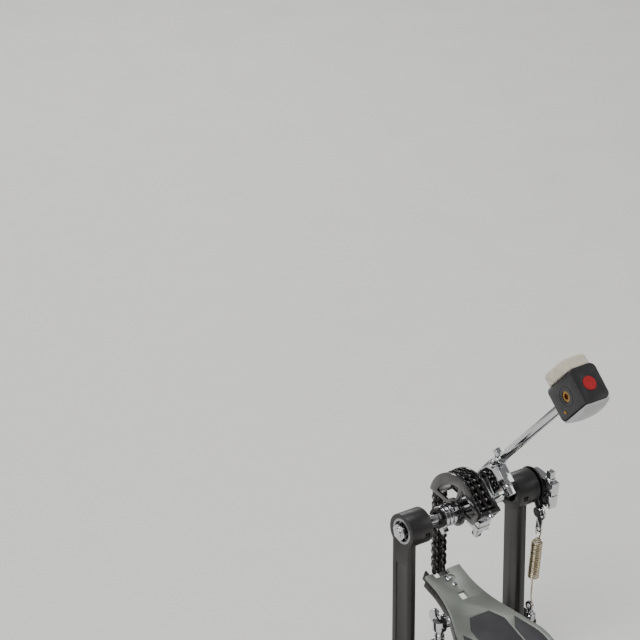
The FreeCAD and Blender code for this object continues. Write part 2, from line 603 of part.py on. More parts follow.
def make_spring():
    """Spring link with its eye, the coil, the eye rod, its bracket, nut and lock knob."""
    reach = value("spring_reach")
    eye = Part.makeCylinder(6.2, 1.6, V(-0.8, 0, reach), V(1, 0, 0))
    strap = Part.makeBox(1.6, 7.0, 14.0, V(-0.8, -3.5, reach - 15))
    foot = Part.makeCylinder(3.8, 1.6, V(-0.8, 0, reach - 15), V(1, 0, 0))
    link = eye.multiFuse([strap, foot]).removeSplitter()
    for radius, height in ((4.1, reach), (2.0, reach - 15)):
        link = link.cut(Part.makeCylinder(radius, 6, V(-3, 0, height), V(1, 0, 0)))
    made(link, "spring_link", SPRING)

    coil_low = 28.8
    coil_high = reach - 27.5
    coil = Part.makeCylinder(value("coil_radius"), coil_high - coil_low, V(0, 0, coil_low))
    made(coil, "return_spring", SPRING)

    side = "size.anchor_side"
    forward = "size.anchor_forward"
    eye_up = "size.axle_height - size.anchor_down"
    ring = rod_x("rod_ring", 4.2, (side + " - 1.2", side + " + 1.2"), forward, eye_up)
    ring_hole = rod_x("rod_ring_hole", 2.2, (40, 90), forward, eye_up)
    bar = rod_z("rod_bar", 2, side, forward, (40, eye_up + " - 3"))
    sub_part(cut("eye_rod", fuse("rod_all", ring, bar), ring_hole), "eye_rod")

    arm = block("bracket_arm", (58.75, 74), (-9.5, 8), (58.5, 63.5))
    arm = rounded("bracket_round", arm, 5.0, lambda middle, along: abs(along.z) > 4 and middle.x > 70)
    flange = block("bracket_flange", (58.75, 62), (-8, 9), (47, 78))
    rod_hole = rod_z("bracket_rod_hole", 2.06, side, forward, (50, 70))
    screw_holes = [rod_x("bracket_hole_%d" % z, 1.75, (50, 70), 5.0, z) for z in (51, 72)]
    sub_part(cut("spring_bracket", fuse("bracket_all", arm, flange), rod_hole, *screw_holes),
             "spring_bracket")
    screws = []
    for z in (51, 72):
        head = rod_x("bracket_head_%d" % z, 2.6, (62.02, 63.6), 5.0, z)
        shank = rod_x("bracket_shank_%d" % z, 1.7, (58.78, 62.1), 5.0, z)
        socket = rod_x("bracket_socket_%d" % z, 1.1, (63, 64), 5.0, z)
        screws.append(cut("bracket_screw_%d" % z, fuse("bracket_screw_body_%d" % z, head, shank), socket))
    sub_part(group("bracket_screws", *screws), "bracket_screws")

    nut_disc = rod_z("nut_disc", 5.2, side, forward, (63.6, 69.6))
    nut_neck = rod_z("nut_neck", 3.6, side, forward, (69.5, 71.6))
    nut_bore = rod_z("nut_bore", 2.05, side, forward, (60, 80))
    sub_part(cut("tension_nut", fuse("tension_body", nut_disc, nut_neck), nut_bore), "tension_nut")
    knob_disc = rod_z("knob_disc", 5.8, side, forward, (45, 56.4))
    knob_neck = rod_z("knob_neck", 4.0, side, forward, (56.3, 58.3))
    knob_bore = rod_z("knob_bore", 2.05, side, forward, (40, 70))
    sub_part(cut("lock_knob", fuse("knob_body", knob_disc, knob_neck), knob_bore), "lock_knob")


# ---------------------------------------------------------------- footboard and heel

# One side of the board, as half width and distance back from its toe edge: straight runs, and
# arcs through three points for the waist and the shoulder.
SIDE = (("line", (18.0, 0.0), (17.5, 15.0)),
        ("arc", (17.5, 15.0), (20.4, 35.0), (27.0, 53.0)),
        ("line", (27.0, 53.0), (39.0, 80.0)),
        ("arc", (39.0, 80.0), (42.0, 88.5), (43.0, 98.0)),
        ("line", (43.0, 98.0), (42.0, 163.0)),
        ("line", (42.0, 163.0), (38.0, 223.5)))


def board_outline(inset, height):
    """The footboard's outline as a face, drawn in from its edge by the inset."""
    length = value("board_length")
    edges = []
    for sign in (1, -1):
        for kind, *points in SIDE:
            places = [V(sign * half, length - back, height) for half, back in points]
            curve = Part.Arc(*places) if kind == "arc" else Part.LineSegment(*places)
            edges.append(curve.toShape())
    half = SIDE[0][1][0]
    edges.append(Part.LineSegment(V(half, length, height), V(-half, length, height)).toShape())
    half, back = SIDE[-1][-1]
    rear = length - back
    edges.append(Part.LineSegment(V(half, rear, height), V(-half, rear, height)).toShape())
    face = Part.Face(Part.Wire(Part.__sortEdges__(edges)))
    if inset:
        face = face.makeOffset2D(-inset)
    return face


def raised(face, tall):
    """A face extruded upwards into a solid that is right side out."""
    slab = face.extrude(V(0, 0, tall))
    if slab.Volume < 0:
        slab.reverse()
    return slab


def hexagon(middle_x, toe_side, length, half, nose, taper, height):
    """An elongated hexagon along the board, as a face."""
    top = toe_side
    corners = [(nose, top), (half, top - taper), (half, top - length + taper), (nose, top - length),
               (-nose, top - length), (-half, top - length + taper), (-half, top - taper), (-nose, top)]
    points = [V(middle_x + x, y, height) for x, y in corners]
    return Part.Face(Part.makePolygon(points + [points[0]]))


def grip_faces(grow, height):
    """Honeycomb of grip inlays: a middle column, and side columns half a cell out of step."""
    toe = value("board_length")
    cell = 56.0
    web = 5.0
    field = board_outline(5.0 - grow, height)
    faces = []
    for number in range(3):
        top = toe - 53 - number * (cell + web)
        length = cell if number < 2 else 46.0
        faces.append(hexagon(0, top + grow, length + 2 * grow, 18 + grow, 10 + grow, 12, height))
    for side in (-1, 1):
        for number in range(3):
            top = toe - 53 + 28.5 - (number + 1) * (cell + web) + cell / 2 - 8
            whole = hexagon(side * 33.2, top + grow, cell + 2 * grow, 13.1 + grow, 5 + grow, 12, height)
            shared = whole.common(field)
            faces += [f for f in shared.Faces if f.Area > 60]
    return faces


def make_footboard():
    """Aluminium plate on a black frame, grip inlays let into it, chain bracket and its screws."""
    top = value("board_top")
    thick = value("plate_thick")
    toe = value("board_length")
    chain_x = value("chain_middle")
    plate = raised(board_outline(0, top - thick), thick)
    tongue = Part.makeBox(48, 14, 4.9, V(-24, -2, top - thick - 1.95))
    barrel = Part.makeCylinder(6.0, 48, V(-24, 0, 0), V(1, 0, 0))
    plate = plate.multiFuse([tongue, barrel]).removeSplitter()
    notch = Part.makeBox(15.4, 12, 30, V(chain_x - 7.7, toe - 5.4, -15))
    square = Part.makeBox(7.3, 8, 12, V(-3.65, toe - 34, top - 8))
    oval = Part.makeCylinder(3.2, 2, V(2.6, toe - 9.6, top - 1.0)).multiFuse(
        [Part.makeCylinder(3.2, 2, V(-2.6, toe - 9.6, top - 1.0)),
         Part.makeBox(5.2, 6.4, 2, V(-2.6, toe - 12.8, top - 1.0))])
    holes = [Part.makeCylinder(1.6, 12, V(0, toe - 9.6, top - 10)),
             Part.makeCylinder(1.3, 12, V(0, toe - 17.5, top - 10)),
             Part.makeCylinder(2.55, 60, V(-30, 0, 0), V(1, 0, 0))]
    pockets = [raised(face, 3) for face in grip_faces(0.15, top - 1.25)]
    plate = plate.cut(Part.makeCompound([notch, square, oval] + holes))
    for pocket in pockets:
        plate = plate.cut(pocket)
    made(plate, "footboard", BOARD)
    pads = [raised(face, 1.45) for face in grip_faces(0.0, top - 1.2)]
    made(Part.makeCompound(pads), "grip_pads", BOARD)

    low = top - thick - 0.02
    deep = value("skirt_deep")
    outer = raised(board_outline(0.8, low - deep), deep)
    hollow = raised(board_outline(4.0, low - deep - 1), deep + 2)
    frame = outer.cut(hollow)
    rear = Part.makeBox(100, 26, 40, V(-50, -5, -20))
    ribs = [Part.makeBox(80, 4, 5, V(-40, toe - back, low - 5)) for back in (104, 150)]
    ribs = [rib.common(raised(board_outline(2.0, low - 5), 5)) for rib in ribs]
    bay = Part.makeBox(18.6, 24, 30, V(chain_x - 9.3, toe - 13.4, -15))
    frame = frame.multiFuse(ribs).cut(rear).cut(bay).removeSplitter()
    made(frame, "footboard_frame", BOARD)

    ears = []
    for x in (chain_x - 8.9, chain_x + 7.3):
        ear = Part.makeBox(1.6, 14, 9.5, V(x, toe - 6.5, low - 10.5))
        ears.append(ear)
    web = Part.makeBox(17.8, 6, 2.2, V(chain_x - 8.9, toe - 12.4, low - 10.5))
    post = Part.makeBox(9, 6.4, 10.5, V(-4.5, toe - 12.6, low - 10.5))
    bracket = web.multiFuse(ears + [post]).removeSplitter()
    bracket = bracket.cut(Part.makeCylinder(1.6, 30, V(0, toe - 9.6, top - 20)))
    made(bracket, "toe_bracket", BOARD)
    bolt = Part.makeCylinder(3.0, 1.4, V(0, toe - 9.6, top - 0.98)).fuse(
        Part.makeCylinder(1.5, 11.5, V(0, toe - 9.6, top - 12.4)))
    bolt = bolt.cut(Part.makeCylinder(1.3, 1.0, V(0, toe - 9.6, top - 0.2)))
    made(bolt.removeSplitter(), "chain_bolt", BOARD)
    screw = Part.makeCylinder(2.3, 1.0, V(0, toe - 17.5, top + 0.02)).fuse(
        Part.makeCylinder(1.2, 6.0, V(0, toe - 17.5, top - 5.9)))
    made(screw.removeSplitter(), "toe_screw", BOARD)


def make_heel():
    """Heel plate with its hinge ears, the hinge pin and four screws."""
    back = "-size.heel_back"
    low = "size.mat_thick + size.base_thick"
    rest = block("heel_block", (-43, 43), ("-size.base_back", -192), (low, 25))
    rest = rounded("heel_round", rest, 6.0, lambda middle, along: abs(along.z) > 10 and middle.y < -230)
    pieces = [rest]
    for side, xs in (("left", (-38, -24.8)), ("right", (24.8, 38))):
        pieces.append(block(side + "_heel_ear", xs, (-194, back), (low, "size.heel_height")))
        pieces.append(rod_x(side + "_heel_knuckle", 6.5, xs, back, "size.heel_height"))
    holes = [rod_x("heel_pin_hole", 2.5, (-60, 60), back, "size.heel_height")]
    screw_places = [(x, y) for x in (-30, 30) for y in (-228, -204)]
    for number, (x, y) in enumerate(screw_places):
        holes.append(rod_z("heel_screw_hole_%d" % number, 2.05, x, y, (5, 40)))
        holes.append(rod_z("heel_screw_seat_%d" % number, 4.3, x, y, (22, 40)))
    sub_part(cut("heel_plate", fuse("heel_all", *pieces), *holes), "heel_plate")
    sub_part(group("heel_pin_group", rod_x("heel_pin", 2.5, (-38.4, 38.4), back, "size.heel_height")),
             "heel_hinge_pin")
    screws = []
    for number, (x, y) in enumerate(screw_places):
        head = rod_z("heel_head_%d" % number, 4.1, x, y, (22.02, 24.6))
        shank = rod_z("heel_shank_%d" % number, 2.0, x, y, (9.3, 22.1))
        socket = rod_z("heel_socket_%d" % number, 1.5, x, y, (23.2, 25))
        screws.append(cut("heel_screw_%d" % number, fuse("heel_screw_body_%d" % number, head, shank),
                          socket))
    sub_part(group("heel_screws", *screws), "heel_screws")


# ---------------------------------------------------------------- hoop clamp and spurs

def make_clamp():
    """Hinged jaw with its rubber pad and pin, and the wing bolt that lifts the jaw's tail."""
    forward = "size.jaw_pin_forward"
    height = "size.jaw_pin_height"
    barrel = rod_x("jaw_barrel", 6, (-46.6, 25.6), forward, height)
    front = block("jaw_front", (-24, 24), (forward, 62), (27, 33))
    front = rounded("jaw_front_round", front, 5.0, lambda middle, along: abs(along.z) > 4 and middle.y > 60)
    tail = block("jaw_tail", (-44, -28), (-20, forward), (30, 36))
    pin_hole = rod_x("jaw_hole", 3.05, (-60, 60), forward, height)
    bolt_hole = rod_z("jaw_bolt_hole", 5.0, "size.wing_side", "-size.wing_back", (0, 60))
    sub_part(cut("clamp_jaw", fuse("jaw_all", barrel, front, tail), pin_hole, bolt_hole), "clamp_jaw")
    pad = block("pad_slab", (-22, 22), (42, 61), (24, 26.98))
    sub_part(group("jaw_pad_group", pad), "jaw_pad")
    pin = rod_x("jaw_pin", 3.0, (-52.5, 31.5), forward, height)
    sub_part(group("jaw_pin_group", pin), "jaw_pivot_pin")

    side = "size.wing_side"
    back = "-size.wing_back"
    bolt = rod_z("wing_shaft", 4, side, back, (20.4, "size.wing_top - 14"))
    collar = rod_z("wing_collar", 6, side, back, ("size.wing_top - 16", "size.wing_top - 8"))
    wings = []
    for sign in (-1, 1):
        lobe = solid("Cylinder", "wing_lobe_%d" % (sign + 1), (side + " - 1.8", "%s + %d" % (back, 6 * sign),
                     "size.wing_top - 6"), FreeCAD.Rotation(V(0, 1, 0), 90), {"Radius": 6, "Height": 3.6})
        wings.append(lobe)
    bridge = block("wing_bridge", (side + " - 1.8", side + " + 1.8"), (back + " - 6", back + " + 6"),
                   ("size.wing_top - 12", "size.wing_top - 4"))
    sub_part(fuse("wing_bolt", bolt, collar, bridge, *wings), "wing_bolt")


def make_spurs():
    """Two pointed screws through the casting's front lugs."""
    for side, x in (("left", -61), ("right", 50)):
        shank = rod_z(side + "_spur_shank", 4, x, 27, (9, 26))
        point = solid("Cone", side + "_spur_point", (x, 27, 5), FreeCAD.Rotation(),
                      {"Radius1": 0.4, "Radius2": 4, "Height": 4})
        head = rod_z(side + "_spur_head", 7, x, 27, (25.5, 31))
        slot = block(side + "_spur_slot", (x - 8, x + 8), (26.4, 27.6), (29.5, 32))
        sub_part(cut(side + "_spur", fuse(side + "_spur_body", shank, point, head), slot), side + "_spur")


# ---------------------------------------------------------------- build and write

make_post("left", (-67.5, -59.5), "size.post_depth", (-67.5, -60.3), (-67.5, -46.5))
make_post("right", (50, 58.7), "20", (60.3, 67.5), (46.5, 67.5))
for make in (make_base, make_casting, make_post_screws, make_bearings, make_axle,
             make_axle_fittings, make_drive_wheel, make_chain, make_holder, make_beater,
             make_rocker, make_spring, make_footboard, make_heel, make_clamp, make_spurs):
    make()
doc.recompute()

os.makedirs("parts", exist_ok=True)
faults = [item.Name for item in doc.Objects if set(item.State) & {"Invalid", "Error"}]
if faults:
    raise RuntimeError("failed objects: " + ", ".join(faults))
for item in sub_parts:
    if item.Shape.isNull() or not item.Shape.isValid():
        raise RuntimeError("bad shape: " + item.Label)
for item in sub_parts:
    path = os.path.join("parts", item.Label + ".step")
    item.Shape.exportStep(path)
    again = Part.Shape()
    again.read(path)
    if abs(again.Volume - item.Shape.Volume) > 0.001 * item.Shape.Volume:
        raise RuntimeError("file doesn't hold the same solid: " + item.Label)
print(len(sub_parts), "sub-parts written")
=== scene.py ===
"""Bass drum pedal: finishes and detailed pieces around the CAD frame, laid out as an add-on."""

import json
import math

import bmesh
import bpy
from mathutils import Matrix, Vector, noise


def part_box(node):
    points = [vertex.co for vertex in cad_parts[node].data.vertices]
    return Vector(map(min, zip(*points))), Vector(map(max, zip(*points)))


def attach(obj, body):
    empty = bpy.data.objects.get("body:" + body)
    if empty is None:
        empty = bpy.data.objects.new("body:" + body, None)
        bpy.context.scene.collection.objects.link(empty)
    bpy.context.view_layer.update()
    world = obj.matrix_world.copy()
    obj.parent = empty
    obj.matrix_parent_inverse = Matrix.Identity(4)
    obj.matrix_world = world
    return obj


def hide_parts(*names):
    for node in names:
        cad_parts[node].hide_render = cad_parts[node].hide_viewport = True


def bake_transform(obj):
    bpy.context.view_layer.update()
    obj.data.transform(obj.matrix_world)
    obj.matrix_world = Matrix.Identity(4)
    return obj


bl_info = {
    "name": "Bass Drum Pedal",
    "version": (1, 0, 0),
    "blender": (4, 5, 0),
    "location": "3D View > Sidebar > Pedal",
    "description": "Dresses the bass drum pedal's frame with its finishes, chain, spring and felt",
    "category": "Object",
}

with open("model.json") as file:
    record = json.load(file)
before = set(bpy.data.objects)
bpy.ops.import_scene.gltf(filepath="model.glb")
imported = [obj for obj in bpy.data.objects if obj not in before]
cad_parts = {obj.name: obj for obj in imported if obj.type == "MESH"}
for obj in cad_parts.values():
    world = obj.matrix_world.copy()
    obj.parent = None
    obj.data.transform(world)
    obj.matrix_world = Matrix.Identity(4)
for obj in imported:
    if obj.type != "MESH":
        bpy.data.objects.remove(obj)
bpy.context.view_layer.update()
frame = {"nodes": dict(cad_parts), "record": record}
MM = 0.001


# ---------------------------------------------------------------- sizes and colours

class PedalSizes(bpy.types.PropertyGroup):
    """Sizes of the pieces that are made here, in metres."""

    edge: bpy.props.FloatProperty(
        name="Cast edge", description="Rounding on the edges of cast parts",
        default=0.6 * MM, min=0.0, unit="LENGTH")
    bright_edge: bpy.props.FloatProperty(
        name="Plated edge", description="Rounding on the edges of plated blocks and screws",
        default=0.4 * MM, min=0.0, unit="LENGTH")
    wire: bpy.props.FloatProperty(
        name="Spring wire", description="Diameter of the return spring's wire",
        default=1.3 * MM, min=0.0001, unit="LENGTH")
    coil: bpy.props.FloatProperty(
        name="Coil", description="Outside diameter of the return spring",
        default=9.8 * MM, min=0.001, unit="LENGTH")
    turns: bpy.props.IntProperty(
        name="Turns", description="Turns of wire in the return spring", default=20, min=3, max=60)
    chain_pitch: bpy.props.FloatProperty(
        name="Chain pitch", description="From one pin of the chain to the next",
        default=6.35 * MM, min=0.001, unit="LENGTH")
    felt_crown: bpy.props.FloatProperty(
        name="Felt crown", description="How far the felt's face swells past its edges",
        default=1.6 * MM, min=0.0, unit="LENGTH")
    thread_pitch: bpy.props.FloatProperty(
        name="Thread pitch", description="Rise of a screw thread in one turn",
        default=1.25 * MM, min=0.0003, unit="LENGTH")


COLOURS = (
    ("casting", "Powder coat", "Satin black of the cast parts", "1F1D1D"),
    ("chrome", "Chrome", "Bright plating", "CFD0D2"),
    ("oxide", "Black oxide", "Chain plates and black screws", "201F1F"),
    ("board", "Board", "Satin anodised footboard", "9A9F98"),
    ("grip", "Grip", "Moulded rubber inlays", "3B393D"),
    ("felt", "Felt", "Pressed wool", "D8D0BC"),
    ("head", "Head", "Moulded beater body", "242325"),
    ("rear", "Hard face", "Smooth rear face of the beater", "B9BABB"),
    ("brass", "Brass", "Turned screw in the beater", "A8824A"),
    ("badge", "Badge", "Blank enamel disc", "A3161C"),
    ("nickel", "Nickel", "Spring wire", "CFC3A8"),
    ("floor", "Floor", "Pale studio floor", "F1F0ED"),
)


def linear(code):
    """An sRGB hex colour as linear red, green, blue and alpha."""
    parts = [int(code[i:i + 2], 16) / 255 for i in (0, 2, 4)]
    return tuple(c / 12.92 if c <= 0.04045 else ((c + 0.055) / 1.055) ** 2.4 for c in parts) + (1.0,)


class PedalColours(bpy.types.PropertyGroup):
    """Colours of the finishes."""

    __annotations__ = {
        key: bpy.props.FloatVectorProperty(name=name, description=words, default=linear(code)[:3],
                                           subtype="COLOR", size=3, min=0.0, max=1.0)
        for key, name, words, code in COLOURS}


def sizes():
    """The scene's sizes."""
    return bpy.context.scene.pedal_sizes


def colour(key):
    """One of the scene's colours with full alpha."""
    return tuple(getattr(bpy.context.scene.pedal_colours, key)) + (1.0,)


# ---------------------------------------------------------------- materials

def add(tree, kind, inputs=None, **settings):
    """Adds a node with its settings; an input is a plain value or another node's output."""
    made = tree.nodes.new(kind)
    for key, setting in settings.items():
        setattr(made, key, setting)
    for key, given in (inputs or {}).items():
        if isinstance(given, bpy.types.NodeSocket):
            tree.links.new(given, made.inputs[key])
        else:
            made.inputs[key].default_value = given
    return made


def start_material(name, **shader):
    """A new material: its tree, its shader and the object coordinates in metres."""
    material = bpy.data.materials.new(name)
    material.use_nodes = True
    tree = material.node_tree
    tree.nodes.clear()
    principled = add(tree, "ShaderNodeBsdfPrincipled", shader)
    add(tree, "ShaderNodeOutputMaterial", {"Surface": principled.outputs["BSDF"]})
    place = add(tree, "ShaderNodeTexCoord").outputs["Object"]
    return material, tree, principled, place


def grain(tree, place, size_mm, detail=3.0, stretch=(1, 1, 1)):
    """Noise whose grains are about size_mm across."""
    turned = add(tree, "ShaderNodeMapping", {"Vector": place, "Scale": stretch}).outputs["Vector"]
    return add(tree, "ShaderNodeTexNoise",
               {"Vector": turned, "Scale": 1.0 / (size_mm * MM), "Detail": detail}).outputs["Fac"]


def between(tree, factor, low, high):
    """A number that runs from low to high as the factor does from 0.3 to 0.7."""
    return add(tree, "ShaderNodeMapRange", {"Value": factor, "From Min": 0.3, "From Max": 0.7,
                                            "To Min": low, "To Max": high}).outputs["Result"]


def shades(tree, factor, dark, light):
    """A colour between two as the factor runs from 0.3 to 0.7."""
    ramp = add(tree, "ShaderNodeValToRGB", {"Fac": factor})
    ramp.color_ramp.elements[0].position = 0.3
    ramp.color_ramp.elements[0].color = dark
    ramp.color_ramp.elements[1].position = 0.7
    ramp.color_ramp.elements[1].color = light
    return ramp.outputs["Color"]


def scaled(rgba, factor):
    """A colour made lighter or darker."""
    return tuple(min(1.0, c * factor) for c in rgba[:3]) + (1.0,)


def link(tree, output, shader, socket):
    """Feeds one of the shader's sockets."""
    tree.links.new(output, shader.inputs[socket])


def bumped(tree, shader, height, strength, depth_mm):
    """Relief on the shader's normal."""
    bump = add(tree, "ShaderNodeBump", {"Height": height, "Strength": strength, "Distance": depth_mm * MM})
    link(tree, bump.outputs["Normal"], shader, "Normal")


def powder_coated_casting():
    """Cast aluminium, powder coated satin black: fine orange peel that breaks up the highlights."""
    material, tree, shader, place = start_material("powder_coated_casting", **{"IOR": 1.5})
    base = colour("casting")
    cloud = grain(tree, place, 9.0)
    link(tree, shades(tree, cloud, scaled(base, 0.8), scaled(base, 1.25)), shader, "Base Color")
    peel = grain(tree, place, 0.55, 2.0)
    link(tree, between(tree, peel, 0.3, 0.44), shader, "Roughness")
    bumped(tree, shader, peel, 0.25, 0.12)
    return material


def lacquered_casting():
    """Cast wheel in gloss black lacquer: a clear coat over faint casting marks."""
    material, tree, shader, place = start_material(
        "lacquered_casting", **{"IOR": 1.5, "Coat Weight": 0.9, "Coat Roughness": 0.06})
    base = colour("casting")
    cloud = grain(tree, place, 6.0)
    link(tree, shades(tree, cloud, scaled(base, 0.55), scaled(base, 0.9)), shader, "Base Color")
    link(tree, between(tree, cloud, 0.16, 0.28), shader, "Roughness")
    bumped(tree, shader, grain(tree, place, 3.0, 2.0), 0.12, 0.15)
    return material


def textured_base_plate():
    """Steel plate with a coarse black powder coat: a dry pebbled sheen."""
    material, tree, shader, place = start_material("textured_base_plate", **{"IOR": 1.5})
    pebble = grain(tree, place, 1.1, 4.0)
    base = colour("casting")
    link(tree, shades(tree, pebble, scaled(base, 0.8), scaled(base, 1.5)), shader, "Base Color")
    link(tree, between(tree, pebble, 0.5, 0.7), shader, "Roughness")
    bumped(tree, shader, pebble, 0.5, 0.25)
    return material


def chrome_plate():
    """Polished chrome over nickel: mirror bright, with faint wiping marks and a soft waviness."""
    material, tree, shader, place = start_material("chrome_plate", **{"Metallic": 1.0})
    wipe = grain(tree, place, 2.5, 4.0, (1, 0.25, 1))
    base = colour("chrome")
    link(tree, shades(tree, wipe, scaled(base, 0.93), base), shader, "Base Color")
    link(tree, between(tree, wipe, 0.04, 0.13), shader, "Roughness")
    bumped(tree, shader, grain(tree, place, 3.5, 1.0), 0.08, 0.2)
    return material


def ground_bearing_steel():
    """Ground bearing steel: grey, with the fine rings that grinding leaves about the axle."""
    material, tree, shader, place = start_material("ground_bearing_steel", **{"Metallic": 1.0})
    ring = grain(tree, place, 0.8, 2.0, (4, 0.6, 0.6))
    link(tree, shades(tree, ring, linear("8C8D8F"), linear("B9BABC")), shader, "Base Color")
    link(tree, between(tree, ring, 0.22, 0.36), shader, "Roughness")
    return material


def oiled_black_oxide():
    """Blackened steel, oiled: nearly black, with bare metal starting to show in worn patches."""
    material, tree, shader, place = start_material("oiled_black_oxide", **{"Metallic": 0.85})
    wear = grain(tree, place, 1.6, 5.0)
    base = colour("oxide")
    link(tree, shades(tree, wear, base, scaled(base, 3.0)), shader, "Base Color")
    link(tree, between(tree, wear, 0.22, 0.4), shader, "Roughness")
    return material


def worn_chain_steel():
    """Hardened rollers and pin heads, rubbed bright, with brown oil in the low spots."""
    material, tree, shader, place = start_material("worn_chain_steel", **{"Metallic": 1.0})
    film = grain(tree, place, 1.2, 4.0)
    link(tree, shades(tree, film, linear("5A534C"), linear("C9C7C4")), shader, "Base Color")
    link(tree, between(tree, film, 0.2, 0.38), shader, "Roughness")
    return material


def satin_anodised_board():
    """Bead-blasted and anodised aluminium: even grey-green satin with a very fine sparkle."""
    material, tree, shader, place = start_material("satin_anodised_board", **{"Metallic": 0.75})
    blast = grain(tree, place, 0.45, 2.0)
    cloud = grain(tree, place, 30.0, 2.0)
    base = colour("board")
    link(tree, shades(tree, cloud, scaled(base, 0.92), scaled(base, 1.05)), shader, "Base Color")
    link(tree, between(tree, blast, 0.4, 0.52), shader, "Roughness")
    bumped(tree, shader, blast, 0.15, 0.08)
    return material


def moulded_grip_rubber():
    """Moulded rubber with a spark-eroded grain: dull, with a faint grey bloom."""
    material, tree, shader, place = start_material("moulded_grip_rubber", **{"IOR": 1.5})
    spark = grain(tree, place, 0.6, 3.0)
    bloom = grain(tree, place, 14.0, 3.0)
    base = colour("grip")
    link(tree, shades(tree, bloom, scaled(base, 0.85), scaled(base, 1.2)), shader, "Base Color")
    link(tree, between(tree, spark, 0.5, 0.68), shader, "Roughness")
    bumped(tree, shader, spark, 0.4, 0.15)
    return material


def pressed_wool_felt():
    """Pressed wool felt: matt and fuzzy, cream with lighter fibres and a soft edge sheen."""
    material, tree, shader, place = start_material(
        "pressed_wool_felt", **{"IOR": 1.45, "Sheen Weight": 0.5, "Sheen Roughness": 0.5, "Roughness": 0.95})
    # Single fibres are 0.03 mm, so tufts of them are drawn at 0.7 mm to show at all.
    fibre = grain(tree, place, 0.7, 6.0, (1, 2.2, 1))
    blotch = grain(tree, place, 7.0, 3.0)
    mixed = add(tree, "ShaderNodeMath", {0: fibre, 1: blotch}, operation="ADD")
    half = add(tree, "ShaderNodeMath", {0: mixed.outputs[0], 1: 0.5}, operation="MULTIPLY")
    base = colour("felt")
    link(tree, shades(tree, half.outputs[0], scaled(base, 0.72), scaled(base, 1.12)), shader, "Base Color")
    bumped(tree, shader, fibre, 0.8, 0.5)
    return material


def moulded_head_plastic():
    """Moulded ABS with a fine etched texture: charcoal, soft highlights."""
    material, tree, shader, place = start_material("moulded_head_plastic", **{"IOR": 1.53})
    etch = grain(tree, place, 0.5, 2.0)
    base = colour("head")
    link(tree, shades(tree, grain(tree, place, 12.0), scaled(base, 0.85), scaled(base, 1.2)), shader,
         "Base Color")
    link(tree, between(tree, etch, 0.3, 0.45), shader, "Roughness")
    bumped(tree, shader, etch, 0.2, 0.08)
    return material


def hard_rear_plastic():
    """Smooth grey polyamide strike face: glossy, with scuffs where it meets the head."""
    material, tree, shader, place = start_material("hard_rear_plastic", **{"IOR": 1.53})
    scuff = grain(tree, place, 3.0, 6.0, (1, 1, 3))
    base = colour("rear")
    link(tree, shades(tree, scuff, scaled(base, 0.85), base), shader, "Base Color")
    link(tree, between(tree, scuff, 0.28, 0.5), shader, "Roughness")
    return material


def turned_brass():
    """Turned brass: fine lathe rings, warm and slightly dulled."""
    material, tree, shader, place = start_material("turned_brass", **{"Metallic": 1.0})
    tarnish = grain(tree, place, 1.5, 4.0)
    base = colour("brass")
    link(tree, shades(tree, tarnish, scaled(base, 0.7), scaled(base, 1.2)), shader, "Base Color")
    link(tree, between(tree, tarnish, 0.22, 0.4), shader, "Roughness")
    return material


def blank_badge_enamel():
    """Poured enamel, blank: deep red under a clear coat."""
    material, tree, shader, place = start_material(
        "blank_badge_enamel", **{"IOR": 1.5, "Coat Weight": 0.8, "Coat Roughness": 0.05})
    swirl = grain(tree, place, 5.0, 2.0)
    base = colour("badge")
    link(tree, shades(tree, swirl, scaled(base, 0.85), scaled(base, 1.1)), shader, "Base Color")
    link(tree, between(tree, swirl, 0.2, 0.3), shader, "Roughness")
    return material


def nickel_plated_wire():
    """Nickel-plated music wire: warm white metal, drawn lengthways, faintly yellowed."""
    material, tree, shader, place = start_material("nickel_plated_wire", **{"Metallic": 1.0})
    age = grain(tree, place, 4.0, 3.0)
    base = colour("nickel")
    link(tree, shades(tree, age, scaled(base, 0.85), scaled(base, 1.1)), shader, "Base Color")
    link(tree, between(tree, age, 0.16, 0.3), shader, "Roughness")
    return material


def painted_studio_floor():
    """Matt emulsion on a studio floor: pale, with the faintest roller mottling."""
    material, tree, shader, place = start_material("painted_studio_floor", **{"IOR": 1.45})
    mottle = grain(tree, place, 60.0, 3.0)
    base = colour("floor")
    link(tree, shades(tree, mottle, scaled(base, 0.97), base), shader, "Base Color")
    link(tree, between(tree, mottle, 0.6, 0.75), shader, "Roughness")
    return material


FINISHES = {
    "black_casting": powder_coated_casting, "gloss_casting": lacquered_casting,
    "base_steel": textured_base_plate,
    "bright_chrome": chrome_plate, "bearing_steel": ground_bearing_steel,
    "black_steel": oiled_black_oxide, "chain_steel": oiled_black_oxide,
    "worn_chain": worn_chain_steel, "board_aluminium": satin_anodised_board,
    "grip_rubber": moulded_grip_rubber, "mat_rubber": moulded_grip_rubber,
    "felt": pressed_wool_felt, "head_plastic": moulded_head_plastic,
    "rear_plastic": hard_rear_plastic, "brass": turned_brass,
    "badge_enamel": blank_badge_enamel, "spring_steel": nickel_plated_wire,
    "floor": painted_studio_floor,
}


def finish(name):
    """The material for a finish, made once."""
    maker = FINISHES[name]
    return bpy.data.materials.get(maker.__name__) or maker()


# ---------------------------------------------------------------- shaping helpers

AXLE_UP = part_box("hex_axle")[0][2] / 2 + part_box("hex_axle")[1][2] / 2
LEAN = math.radians(44.0)
AXLE = Matrix.Translation((0, 0, AXLE_UP)) @ Matrix.Rotation(LEAN, 4, "X")


def midpoint(node):
    """The middle of a CAD node's box."""
    low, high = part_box(node)
    return (Vector(low) + Vector(high)) / 2


def settle(mesh, name, finish_name, body, *nodes):
    """Puts a finished mesh in the scene on its body, in place of the nodes that it stands for."""
    piece = bpy.data.objects.new(name, mesh)
    bpy.context.scene.collection.objects.link(piece)
    if finish_name and not mesh.materials:
        mesh.materials.append(finish(finish_name))
    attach(piece, body)
    if nodes:
        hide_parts(*nodes)
    return piece


